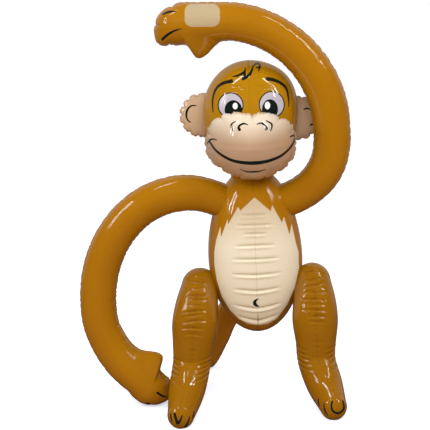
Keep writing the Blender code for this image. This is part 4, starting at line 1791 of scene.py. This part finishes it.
@dataclass
class Tail:
    """The tail, by Geometry Nodes: down and back from the lower back to the floor, and up at its tip."""

    width: float = 42.0
    tip_width: float = 36.0
    route: tuple = (
        (0, 30, 176), (-33, 68, 142), (-56.5, 90, 103), (-72.5, 116, 63), (-95, 148, 18.8), (-111, 172, 28.8),
    )
    tip: tuple = (-122, 190, 60)
    columns: int = 112
    step: float = 1.5
    spacing: float = 11.0
    fold_depth: float = 1.3
    fold_reach: float = 17.0
    seed: float = 4.0

    HALF = "half_width"
    ACROSS = "across"
    TURN = "turn"
    ALONG = "along"

    def make(self, shop: Shop, torso: Torso) -> None:
        """Builds the tail and its weld edge.

        Args:
            shop: what it is made with.
            torso: the chamber that it stands out of.
        """
        knots = [(*place, self.width / 2) for place in self.route]
        knots.append((*self.tip, self.tip_width / 2))
        stations = with_round_ends(curve_through(np.array(knots, dtype=float), self.step), self.step)
        route, half = stations[:, :3], stations[:, 3]
        side = np.cross(np.gradient(route, axis=0), np.array([-0.5, -0.85, 0.0]))
        side /= np.linalg.norm(side, axis=1, keepdims=True)
        mesh = bpy.data.meshes.new("tail_film")
        steps = [(index, index + 1) for index in range(len(route) - 1)]
        mesh.from_pydata(((route + SHIFT) * MM).tolist(), steps, [])
        across = mesh.attributes.new(self.ACROSS, "FLOAT_VECTOR", "POINT")
        across.data.foreach_set("vector", side.astype(np.float32).ravel())
        widths = mesh.attributes.new(self.HALF, "FLOAT", "POINT")
        widths.data.foreach_set("value", (half * MM).astype(np.float32))
        made = bpy.data.objects.new("tail_film", mesh)
        bpy.context.scene.collection.objects.link(made)
        values = {
            "Columns": self.columns,
            "Fold Spacing": self.spacing * MM,
            "Fold Depth": self.fold_depth * MM,
            "Fold Reach": self.fold_reach * MM,
            "Seed": self.seed,
            "Finish": shop.finishes["tail"],
        }
        shop.hand_in(made_plain(made, self.tree(), values), "tail")
        loop = np.concatenate([route + side * half[:, None], (route - side * half[:, None])[::-1]])
        outs = np.concatenate([side, -side[::-1]])
        keep = (torso.inside(loop) > 1.02) & (loop[:, 2] > WELD_FLOOR_GAP)
        shop.weld("tail", stretches(loop, outs, keep), Slot.ORANGE, width=1.1, wave=0.5, seed=9)

    def tree(self) -> bpy.types.NodeTree:
        """The tree: a path with widths becomes a tube of film, gathered along its two welds.

        Returns:
            The tree.
        """
        inputs = {"Geometry": GEOMETRY, "Columns": 96, "Fold Spacing": 0.011, "Fold Depth": 0.001}
        inputs |= {"Fold Reach": 0.015, "Seed": 1.0, "Finish": MATERIAL}
        tree, nodes, given = new_group("gathered tube", inputs, "Geometry", GEOMETRY, "GeometryNodeTree")
        across = nodes.named(self.ACROSS, "FLOAT_VECTOR")
        path = nodes.add("GeometryNodeMeshToCurve", Mesh=given["Geometry"]).outputs["Curve"]
        path = nodes.add("GeometryNodeSetCurveNormal", {"mode": "FREE"}, Curve=path, Normal=across)
        place = nodes.add("GeometryNodeSplineParameter").outputs
        path = nodes.store(path.outputs["Curve"], self.ALONG, place["Length"])
        ring = nodes.add("GeometryNodeCurvePrimitiveCircle", Resolution=given["Columns"], Radius=1.0)
        turn = nodes.math("MULTIPLY", place["Factor"], math.tau)
        ring = nodes.store(ring.outputs["Curve"], self.TURN, turn)
        half = nodes.named(self.HALF, "FLOAT")
        tube = nodes.swept(path, ring, half)
        turn = nodes.named(self.TURN, "FLOAT")
        from_seam = nodes.math("MODULO", turn, math.pi)
        from_seam = nodes.math("MINIMUM", from_seam, nodes.math("SUBTRACT", math.pi, from_seam))
        away = nodes.math("MULTIPLY", from_seam, half)
        from_middle = nodes.math("ABSOLUTE", nodes.math("SUBTRACT", turn, math.pi))
        behind = nodes.math("GREATER_THAN", from_middle, math.pi / 2)
        depth = self.gathers(nodes, given, away, behind)
        normal = nodes.add("GeometryNodeInputNormal").outputs["Normal"]
        inward = nodes.scaled(normal, nodes.math("MULTIPLY", depth, -1.0))
        pressed = nodes.add("GeometryNodeSetPosition", Geometry=tube, Offset=inward)
        shape = pressed.outputs["Geometry"]
        for mark, value in ((Mark.SEAM, away), (Mark.FOLD, depth)):
            shape = nodes.store(shape, mark.value, nodes.math("DIVIDE", value, MM))
        position = nodes.add("GeometryNodeInputPosition").outputs["Position"]
        spot = nodes.add("ShaderNodeSeparateXYZ", Vector=position).outputs
        height = nodes.math("MAXIMUM", spot["Z"], FLOOR_GAP * MM)
        raised = nodes.add("ShaderNodeCombineXYZ", X=spot["X"], Y=spot["Y"], Z=height).outputs["Vector"]
        rested = nodes.add("GeometryNodeSetPosition", Geometry=shape, Position=raised)
        smooth = nodes.add("GeometryNodeSetShadeSmooth", Geometry=rested.outputs["Geometry"])
        nodes.finish(smooth.outputs["Geometry"], given["Finish"])
        return tree

    def gathers(
        self,
        nodes: Nodes,
        given: bpy.types.NodeOutputs,
        away: bpy.types.NodeSocket,
        behind: bpy.types.NodeSocket,
    ) -> bpy.types.NodeSocket:
        """How deep the gathers along the welds are: sharp ridges at uneven distances, fading off the weld.

        Args:
            nodes: the nodes of the tree.
            given: the outputs of the tree's inputs.
            away: how far each point is from the nearer weld.
            behind: 1 on the side of the second weld and 0 on that of the first.

        Returns:
            The depths.
        """
        along = nodes.math("DIVIDE", nodes.named(self.ALONG, "FLOAT"), given["Fold Spacing"])
        other = nodes.math("MULTIPLY", behind, 7.3)
        spot = nodes.add("ShaderNodeCombineXYZ", X=along, Y=other).outputs["Vector"]
        noise = {"Scale": 0.6, "Vector": spot, "Detail": 0.0, "W": given["Seed"]}
        uneven = nodes.add("ShaderNodeTexNoise", {"noise_dimensions": "4D"}, **noise).outputs["Fac"]
        phase = nodes.math("ADD", along, nodes.math("MULTIPLY", uneven, 1.6))
        phase = nodes.math("ADD", phase, nodes.math("MULTIPLY", behind, 0.5))
        ridge = nodes.math("COSINE", nodes.math("MULTIPLY", phase, math.tau))
        ridge = nodes.math("POWER", nodes.math("MAXIMUM", ridge, 0.0), 7.0)
        fade = nodes.math("DIVIDE", away, nodes.math("MULTIPLY", given["Fold Reach"], uneven))
        fade = nodes.math("SUBTRACT", 1.0, nodes.math("MULTIPLY", fade, 0.5), clamp=True)
        depth = nodes.math("MULTIPLY", ridge, nodes.math("POWER", fade, 1.5))
        return nodes.math("MULTIPLY", depth, given["Fold Depth"])


@dataclass
class Valve:
    """The valve on the back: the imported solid, in its own vinyl."""

    node: str = "valve"

    def make(self, shop: Shop) -> None:
        """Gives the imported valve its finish.

        Args:
            shop: what it is made with.
        """
        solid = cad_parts[self.node]
        for place in solid.material_slots:
            place.material = shop.finishes["vinyl"]
        log.info("%s: carried over", self.node)


@dataclass(frozen=True)
class Lamp:
    """A rectangular lamp: its place in metres from the figure's middle line, its sides, and its watts."""

    name: str
    place: tuple[float, float, float]
    size: tuple[float, float]
    power: float
    aim_z: float

    def hang(self) -> bpy.types.Object:
        """Hangs the lamp, turned to a height on the figure's middle line.

        Returns:
            The lamp.
        """
        data = bpy.data.lights.new(self.name, "AREA")
        data.shape = "RECTANGLE"
        data.size, data.size_y = self.size
        data.energy = self.power
        made = bpy.data.objects.new(self.name, data)
        bpy.context.scene.collection.objects.link(made)
        place, aim = Vector(self.place), Vector((0, 0, self.aim_z))
        made.location = place + Vector(SHIFT * MM)
        made.rotation_euler = (aim - place).to_track_quat("-Z", "Y").to_euler()
        return made


@dataclass
class Studio:
    """The pale floor, the white backdrop, the long lamps, the soft front light and the camera."""

    floor_size: float = 80.0
    around: float = 0.48
    from_front: float = 0.4
    white: float = 1.06
    dark_room: float = 0.05
    backdrop: float = 0.6
    warm: tuple = (1, 0.93, 0.84, 1)
    floor_bounce: tuple = (0.50, 0.34, 0.22, 1)
    floor_glow: tuple = (0.5, 0.54, 0.62, 1)
    mirrored_room: tuple = (0.05, 0.05, 0.05, 1)
    mirrored_backdrop: tuple = (0.55, 0.50, 0.42, 1)
    soft_colour: tuple = (0.96, 1.0, 0.98)
    lamps: tuple = (
        Lamp("left_overhead", (-0.48, -0.23, 1.7), (0.045, 0.60), 2.2, 0.5),
        Lamp("right_overhead", (0.78, -0.27, 1.7), (0.045, 0.50), 1.9, 0.5),
        Lamp("left_tube_0", (-1.25, -0.60, 1.05), (0.03, 0.55), 2.2, 0.45),
        Lamp("left_tube_1", (-1.25, -0.37, 1.05), (0.03, 0.55), 2.2, 0.45),
        Lamp("right_tube_0", (1.25, -0.60, 1.4), (0.03, 0.55), 2.2, 0.45),
        Lamp("right_tube_1", (1.25, -0.37, 1.4), (0.03, 0.55), 2.2, 0.45),
    )

    def make(self) -> None:
        """Sets up the floor, the lights, the background and the camera."""
        self.floor()
        self.sky()
        for lamp in self.lamps:
            lamp.hang()
        soft = Lamp("front_soft", (0.0, -1.55, 1.25), (1.6, 0.7), 18.5, 0.5).hang()
        soft.data.color = self.soft_colour
        soft.visible_glossy = False
        scene = bpy.context.scene
        scene.camera = DRAWING.camera()
        scene.view_settings.view_transform = "Standard"
        scene.view_settings.look = "None"

    def floor(self) -> None:
        """A wide pale floor that throws a darker, warmer light up than it looks, so undersides stay deep."""
        half = self.floor_size / 2
        mesh = bpy.data.meshes.new("floor")
        corners = [(-half, -half, 0), (half, -half, 0), (half, half, 0), (-half, half, 0)]
        mesh.from_pydata(corners, [], [(0, 1, 2, 3)])
        material, nodes, shader = new_material("pale floor")
        noise = nodes.add("ShaderNodeTexNoise", Vector=nodes.place(), Scale=3.0, Detail=2.0)
        shade = nodes.mix(noise.outputs["Fac"], (0.93, 0.93, 0.93, 1), (0.96, 0.96, 0.96, 1))
        path = nodes.add("ShaderNodeLightPath").outputs
        depth = nodes.add("ShaderNodeSeparateXYZ", Vector=nodes.place()).outputs["Y"]
        behind = nodes.add("ShaderNodeMapRange", Value=depth, From_Min=0.1, From_Max=1.2).outputs["Result"]
        mirrored = nodes.mix(behind, self.mirrored_room, self.mirrored_backdrop)
        unseen = nodes.mix(path["Is Glossy Ray"], self.floor_bounce, mirrored)
        nodes.fill(shader.inputs["Base Color"], nodes.mix(path["Is Camera Ray"], unseen, shade))
        glow = nodes.mix(path["Is Camera Ray"], (0, 0, 0, 1), self.floor_glow)
        nodes.fill(shader.inputs["Emission Color"], glow)
        shader.inputs["Emission Strength"].default_value = 1.0
        shader.inputs["Roughness"].default_value = 0.8
        mesh.materials.append(material)
        floor = bpy.data.objects.new("floor", mesh)
        bpy.context.scene.collection.objects.link(floor)

    def sky(self) -> None:
        """The surround: white to look at, warm as light, brighter in front, a backdrop in mirrors."""
        world = bpy.data.worlds.new("white surround")
        bpy.context.scene.world = world
        world.use_nodes = True
        nodes = Nodes(world.node_tree)
        back = world.node_tree.nodes["Background"]
        path = nodes.add("ShaderNodeLightPath").outputs
        nodes.fill(back.inputs["Color"], nodes.mix(path["Is Camera Ray"], self.warm, (1, 1, 1, 1)))
        direction = nodes.add("ShaderNodeTexCoord").outputs["Generated"]
        front = {"in_0": direction, "in_1": (0, -0.93, 0.37)}
        to_front = nodes.add("ShaderNodeVectorMath", {"operation": "DOT_PRODUCT"}, **front).outputs["Value"]
        share = nodes.math("POWER", nodes.math("MAXIMUM", to_front, 0.0), 2.0)
        lit = nodes.math("ADD", self.around, nodes.math("MULTIPLY", share, self.from_front))
        depth = nodes.add("ShaderNodeSeparateXYZ", Vector=direction).outputs["Y"]
        behind = nodes.add("ShaderNodeMapRange", Value=depth, From_Min=0.15, From_Max=0.6).outputs["Result"]
        behind = nodes.math("MULTIPLY", behind, self.backdrop - self.dark_room)
        mirrored = nodes.math("ADD", self.dark_room, behind)
        strength = self.chosen(nodes, path["Is Glossy Ray"], lit, mirrored)
        strength = self.chosen(nodes, path["Is Camera Ray"], strength, self.white)
        nodes.fill(back.inputs["Strength"], strength)

    @staticmethod
    def chosen(nodes: Nodes, share: bpy.types.NodeSocket, low: object, high: object) -> bpy.types.NodeSocket:
        """One of two values, by a share."""
        rest = nodes.math("MULTIPLY", nodes.math("SUBTRACT", 1.0, share), low)
        return nodes.math("ADD", rest, nodes.math("MULTIPLY", share, high))


# Sizes and drawings of the chambers

INK = (0.006, 0.010, 0.009)
EYE_WHITE = (0.47, 0.44, 0.52)
PALE = (0.82, 0.745, 0.60)
PALM = (0.46, 0.36, 0.22)
ORANGE = (0.38, 0.157, 0.003)
ORANGE_DEEP = (0.27, 0.096, 0.002)
ORANGE_FACE = (0.39, 0.185, 0.003)
# Painted shade: the legs' film is darker than the arms', standing in for the lower figure getting less light.
LEG_ORANGE_WITH_PAINTED_SHADE = (0.30, 0.122, 0.002)
LEG_DEEP_WITH_PAINTED_SHADE = (0.21, 0.075, 0.002)
# Painted light: the tail's film is paler than the rest, standing in for the light that the torso and legs
# keep off it.
TAIL_ORANGE_WITH_PAINTED_LIGHT = (0.54, 0.23, 0.008)
TAIL_DEEP_WITH_PAINTED_LIGHT = (0.39, 0.145, 0.004)
PEACH = (0.47, 0.31, 0.205)
PEACH_DEEP = (0.36, 0.19, 0.10)


def make_finishes(effects: Effects) -> dict[str, bpy.types.Material]:
    """Makes the materials of the figure.

    Args:
        effects: the shared node groups.

    Returns:
        The materials, by the name that the chambers know them by.
    """
    ink = Layer(Mark.INK, INK)
    # Painted shade: the belly print turns darker towards its top, where the muzzle keeps light off it.
    patch = Layer(Mark.PATCH, PALE, PaintedHeightShading((0.59, 0.465, 0.32), 0.262, 0.328))
    palm = Layer(Mark.PATCH, PALM)
    # Painted light: the muzzle's peach film turns paler towards its top, where light falls on it.
    lit = PaintedHeightShading((0.76, 0.67, 0.55), 0.432, 0.474)
    face = (Layer(Mark.WHITE, EYE_WHITE), ink, Layer(Mark.GLINT, (0.85, 0.85, 0.85)))
    films = {
        "orange": Film("orange film", ORANGE, ORANGE_DEEP, layers=(patch, ink)),
        # painted shade: the legs take a darker film than the arms
        "leg": Film("orange film of the legs with painted shade", LEG_ORANGE_WITH_PAINTED_SHADE, LEG_DEEP_WITH_PAINTED_SHADE, layers=(ink,)),
        # painted light: the tail takes a paler film than the rest
        "tail": Film("orange film of the tail with painted light", TAIL_ORANGE_WITH_PAINTED_LIGHT, TAIL_DEEP_WITH_PAINTED_LIGHT),
        "belly": Film("orange film with the belly print", ORANGE, ORANGE_DEEP, layers=(patch, ink)),
        "palm": Film("orange film with the palm print", ORANGE, ORANGE_DEEP, layers=(palm, ink)),
        "face": Film("orange film with the face print", ORANGE_FACE, ORANGE_DEEP, layers=face),
        "peach": Film("peach film", PEACH, PEACH_DEEP, drift=0.18, layers=(ink,), crown=lit),
        "ear": Film("peach film of the ears", (0.56, 0.385, 0.25), PEACH_DEEP, drift=0.18, layers=(ink,)),
        "orange edge": Film("flat welded edge of orange film", (0.42, 0.19, 0.008), ORANGE, marked=False),
        "peach edge": Film("flat welded edge of peach film", (0.62, 0.43, 0.29), PEACH, marked=False),
    }
    finishes = {name: film.build(effects) for name, film in films.items()}
    finishes["vinyl"] = ClearVinyl().build(effects)
    return finishes


def muzzle() -> Pillow:
    """The muzzle, with its nostrils and smile.

    Returns:
        The muzzle's chamber.
    """
    outline = (
        (-66, 24), (-59, 38), (-51, 44), (-43, 49), (-28, 52), (-9, 50), (5, 49), (18, 51), (34, 48),
        (46, 42), (58, 35), (65, 24), (69, 8), (70, -9), (65, -28), (53, -39), (34, -48), (15, -52),
        (-4, -52), (-26, -48), (-48, -38.5), (-65, -26), (-72, -11), (-72, 3), (-69, 14),
    )
    notches = (
        (165, 0.6), (136, 1.0), (120, 0.5), (86, 0.8), (68, 0.4), (41, 1.0), (15, 0.6), (-7, 0.7), (-30, 0.9),
        (-49, 0.8), (-70, 0.5), (-113, 0.7), (-128, 0.5), (-143, 1.0), (-158, 0.5), (-175, 0.8),
    )
    strokes = (
        Stroke(((235.4, 121.6), (232.0, 123.6), (231.3, 126.6), (233.6, 131.9)), (0.7, 1.3, 0.6)),
        Stroke(((247.9, 124.7), (243.4, 123.6), (239.4, 125.6)), (0.6, 1.4, 1.5)),
        Stroke(((239.3, 125.8), (238.6, 127.6), (239.4, 129.6)), (1.5, 1.8, 2.2)),
        Oval((239.3, 129.2), (1.6, 1.5)),
        Stroke(((256.8, 124.3), (261.3, 123.0), (265.7, 126.0)), (0.6, 1.4, 1.5)),
        Stroke(((265.7, 126.0), (266.9, 127.4), (266.2, 129.0)), (1.5, 1.8, 2.2)),
        Oval((266.3, 128.8), (1.6, 1.5)),
        Stroke(((266.2, 120.7), (271.0, 123.4), (272.0, 126.5), (270.6, 131.0)), (0.7, 1.4, 0.6)),
        Stroke(
            (
                (209.9, 142.1), (215.7, 150.2), (224.6, 156.9), (235.4, 161.3), (249.6, 163.1),
                (264.8, 161.8), (278.2, 157.3), (287.1, 151.0), (293.4, 143.0), (294.7, 137.7),
            ),
            (1.3, 2.7, 1.2),
        ),
        Stroke(((207.2, 143.9), (209.5, 140.4), (213.0, 139.0), (216.6, 140.2)), (0.7, 1.5, 0.6)),
        Stroke(((290.3, 137.0), (293.4, 135.4), (295.6, 138.2)), (0.7, 1.5, 0.8)),
        Stroke(
            ((240.3, 169.4), (247.0, 171.6), (252.8, 171.9), (259.5, 171.2), (265.3, 169.4)),
            (0.5, 1.2, 0.5),
        ),
    )
    return Pillow(
        "muzzle", (0, -72, 424), outline, notches, notch_depth=3.0, front_swell=38, back_swell=30, wrap=44,
        chin_back=10, columns=440, gathers=52, strokes=strokes,
    )


def ears() -> list[Pillow]:
    """The two ears, each with its printed curl.

    Returns:
        The left ear and the right ear.
    """
    circle = tuple((35 * math.cos(turn), 35 * math.sin(turn)) for turn in np.linspace(0, math.tau, 40)[:-1])
    left_notches = (100, 0.8), (126, 1), (150, 1), (176, 1), (-157, 1), (-128, 0.9), (-102, 0.8)
    right_notches = (80, 0.8), (52, 1), (26, 1), (0, 1), (-28, 1), (-56, 0.9), (-82, 0.8)
    left = (
        Stroke(
            ((196.1, 105.7), (191.6, 105.7), (187.6, 109.4), (186.3, 115.0), (187.6, 119.8), (190.3, 122.2)),
            (0.7, 1.6, 0.8),
        ),
    )
    right = (
        Stroke(((303.6, 109.6), (306.6, 108.4), (309.9, 109.2)), (0.7, 1.4, 0.9)),
        Stroke(((313.4, 122.2), (312.2, 124.2), (310.0, 125.4)), (0.7, 1.4, 0.7)),
    )
    swell = {"front_swell": 12, "back_swell": 12}
    shape = {"outline": circle, "notch_depth": 2.6, **swell, "columns": 240, "gathers": 30, "fine": 1.0}
    return [
        Pillow("left_ear", (-77, 20, 462), notches=left_notches, strokes=left, seed=33, **shape),
        Pillow("right_ear", (77, 20, 452), notches=right_notches, strokes=right, seed=34, **shape),
    ]


def raised_arm() -> Arm:
    """The arm on the right: up past the head, over it, and out to the left.

    Returns:
        The arm's chamber.
    """
    points = [
        *arc((1, 424.5), (126, 107.5), 270, 360, 6, 2.12),
        *arc((-40, 443), (166.5, 168.5), 0, 90, 9, 1.95),
        (-107, 610),
    ]
    outline = (
        (-36, 579), (-43, 574), (-50, 568), (-55, 563.5), (-60, 559), (-66, 555), (-73, 553.5), (-79, 555),
        (-83, 560), (-86.5, 567), (-90, 573), (-94, 576.5), (-98, 577.7), (-106, 577.7), (-117, 578.5),
        (-120, 580.5), (-122.5, 578.5), (-126, 577.5), (-131, 578), (-136, 580), (-140, 584.5),
        (-141.4, 590.5), (-142.2, 597.5), (-142, 603), (-141, 607.5), (-138, 610), (-139.4, 613),
        (-138.8, 617), (-136.4, 621.5), (-133, 626), (-128.8, 630), (-123.8, 633.5), (-118.5, 635.8),
        (-114.5, 636), (-112, 637), (-108, 640.5), (-101, 642), (-90, 642.3),
    )
    hand = Hand((-107, 610), 180, 32, outline)
    folds = [
        (0, Folds.scattered(60, 600, spacing=11, reach=21, depth=1.1, width=1.4, seed=61)),
        (0, Folds.scattered(200, 420, spacing=17, reach=38, depth=1.4, width=1.8, seed=62)),
        (180, Folds.scattered(60, 600, spacing=11, reach=20, depth=1.1, width=1.4, seed=63)),
    ]
    palm = rounded_patch((184.6, 3.8), (219.8, 26.8), 7.5)
    fingers = [
        Stroke(((162.6, 39.3), (165.4, 36.6), (169.0, 33.8), (175.0, 30.6), (182.0, 28.6)), (2.0, 1.7, 0.6)),
        Stroke(((163.0, 14.2), (167.5, 12.2), (172.0, 11.3), (176.4, 11.6)), (1.4, 1.6, 0.6)),
    ]
    depths = (0, 0), (0.3, -20), (1, -20)
    widths = (0, 55), (0.12, 54), (0.25, 57), (0.5, 58.5), (0.86, 58), (1, 64)
    prints = {Mark.PATCH: [palm], Mark.INK: fingers}
    return Arm("raised_arm", points, depths, widths, hand, 42, folds, prints)


def rounded_patch(low: tuple[float, float], high: tuple[float, float], corner: float) -> Area:
    """A printed patch with rounded corners.

    Args:
        low: its upper left corner on the drawing.
        high: its lower right corner.
        corner: the radius of its corners.

    Returns:
        The patch.
    """
    places = []
    left, top, right, bottom = low[0] + corner, low[1] + corner, high[0] - corner, high[1] - corner
    for turn, x, y in ((0, right, bottom), (90, left, bottom), (180, left, top), (270, right, top)):
        for angle in np.radians(np.linspace(turn, turn + 90, 7)):
            places.append((x + corner * math.cos(angle), y + corner * math.sin(angle)))
    return Area(tuple(places), smooth=False)


def lowered_arm() -> Arm:
    """The arm on the left: out and down in a wide loop, to its hand on the floor beside the foot.

    Returns:
        The arm's chamber.
    """
    points = [
        (-16, 301.5), (-44, 323.5), (-75, 338.5),
        *arc((-109.5, 170), (145.5, 175), 89, 180, 7, 1.98),
        *arc((-109.5, 170), (147, 151), 180, 232, 4, 1.98)[1:],
        (-177.5, 29.8),
    ]
    outline = (
        (-217.5, 28), (-210, 16.5), (-201, 8), (-190, 3), (-177, 1), (-158, 3), (-147, 10.5), (-144, 20),
        (-145, 27), (-145.5, 35), (-147.5, 41), (-153.5, 45), (-158.5, 50), (-161.5, 55), (-161.5, 60),
        (-159.6, 65), (-157.6, 70), (-155, 75), (-155.5, 80.5), (-159.5, 85), (-167, 88), (-176, 89.5),
        (-186, 90), (-195, 94),
    )
    hand = Hand((-177.5, 29.8), -45, 32, outline)
    folds = [
        (0, Folds.scattered(60, 560, spacing=11, reach=21, depth=1.1, width=1.4, seed=71)),
        (180, Folds.scattered(60, 470, spacing=11, reach=20, depth=1.1, width=1.4, seed=72)),
        (180, Folds.scattered(330, 440, spacing=14, reach=30, depth=1.7, width=1.6, seed=73)),
    ]
    fingers = [
        Stroke(((157.4, 392.8), (161.6, 395.6), (167.3, 397.2)), (1.6, 1.5, 0.6)),
        Stroke(((145.8, 402.6), (148.0, 403.4), (150.2, 403.2)), (0.6, 1.2, 0.6)),
    ]
    depths = (0, 0), (0.25, -20), (0.8, -20), (1, -28)
    widths = (0, 56), (0.1, 54), (0.22, 57.5), (0.75, 57.5), (0.9, 61), (1, 64)
    return Arm("lowered_arm", points, depths, widths, hand, 40, folds, {Mark.INK: fingers})


def legs() -> list[Leg]:
    """The two legs, each with its creases and toes.

    Returns:
        The left leg and the right leg.
    """
    left_creases = (
        (279.4, 9, 1.0, 0.0), (286.0, 8, 0.7, 0.0), (292.8, 11, 1.5, 0.05), (297.0, 9, 0.9, 0.0),
        (303.0, 8, 0.7, 0.0), (308.6, 12, 1.6, 0.08), (312.8, 9, 0.9, 0.0), (318.5, 11, 1.4, 0.1),
        (325.4, 11, 1.3, 0.12), (332.0, 9, 1.0, 0.15),
    )
    left_ankle = (
        (359.0, 0.8, -0.1), (364.0, 1.0, -0.12), (369.0, 1.2, -0.15), (374.0, 1.2, -0.15),
        (380.0, 0.9, -0.15),
    )
    right_creases = (
        (273.0, 9, 1.0, 0.0), (281.0, 10, 1.2, 0.0), (287.0, 11, 1.4, 0.0), (294.0, 12, 1.4, 0.05),
        (301.0, 12, 1.5, 0.08), (307.0, 9, 0.9, 0.0), (312.0, 11, 1.3, 0.1), (318.5, 10, 1.1, 0.12),
        (324.0, 9, 0.9, 0.12),
    )
    right_ankle = (
        (353.0, 0.8, -0.1), (358.0, 1.1, -0.12), (363.0, 1.2, -0.15), (368.0, 1.2, -0.15),
        (374.0, 0.9, -0.15),
    )
    left_toes = [
        Stroke(
            ((174.6, 413.8), (176.0, 419.0), (177.7, 423.4), (180.4, 420.0), (182.3, 415.4)),
            (1.7, 2.0, 0.8),
        ),
        Stroke(((189.5, 416.5), (188.8, 420.0), (187.4, 423.4), (185.4, 426.5)), (0.6, 1.2, 1.6)),
        Stroke(((193.8, 411.8), (193.6, 415.2), (192.2, 418.4)), (0.6, 1.0, 0.6)),
        Stroke(((170.8, 413.4), (171.0, 418.0), (172.2, 422.0)), (0.6, 1.1, 0.6)),
    ]
    right_toes = [
        Stroke(
            (
                (332.4, 401.5), (331.4, 406.1), (332.7, 410.7), (337.8, 413.3), (343.0, 410.2),
                (343.9, 406.1), (342.9, 401.0),
            ),
            (1.2, 1.7, 1.2),
        ),
        Stroke(((324.2, 403.0), (324.0, 406.6), (325.4, 411.4), (327.6, 415.3)), (0.6, 1.2, 0.6)),
        Stroke(((318.6, 398.7), (318.1, 401.5), (319.4, 405.6)), (0.6, 1.0, 0.6)),
    ]
    return [
        Leg("left_leg", -1, (10, 17.5, 33.5), left_creases, left_ankle, left_toes, toe_y=-135),
        Leg(
            "right_leg", 1, (1.5, 1.5, 22.5), right_creases, right_ankle, right_toes,
            toe_y=-123.5, hip_x=89.5, hip_z=192.5,
        ),
    ]


def main() -> None:
    """Builds the figure in order, and the studio around it."""
    logging.basicConfig(level=logging.INFO, format="%(message)s")
    shop = Shop(make_finishes(Effects()), WeldEdges())
    torso, head = Torso(), Head()
    torso.make(shop)
    head.make(shop)
    muzzle().make(shop, "peach", head.shell())
    for ear in ears():
        ear.make(shop, "ear", head.shell())
    for arm in (raised_arm(), lowered_arm()):
        arm.make(shop, torso)
    for leg in legs():
        leg.make(shop, torso)
    Tail().make(shop, torso)
    Valve().make(shop)
    Studio().make()


if __name__ == "__main__":
    main()
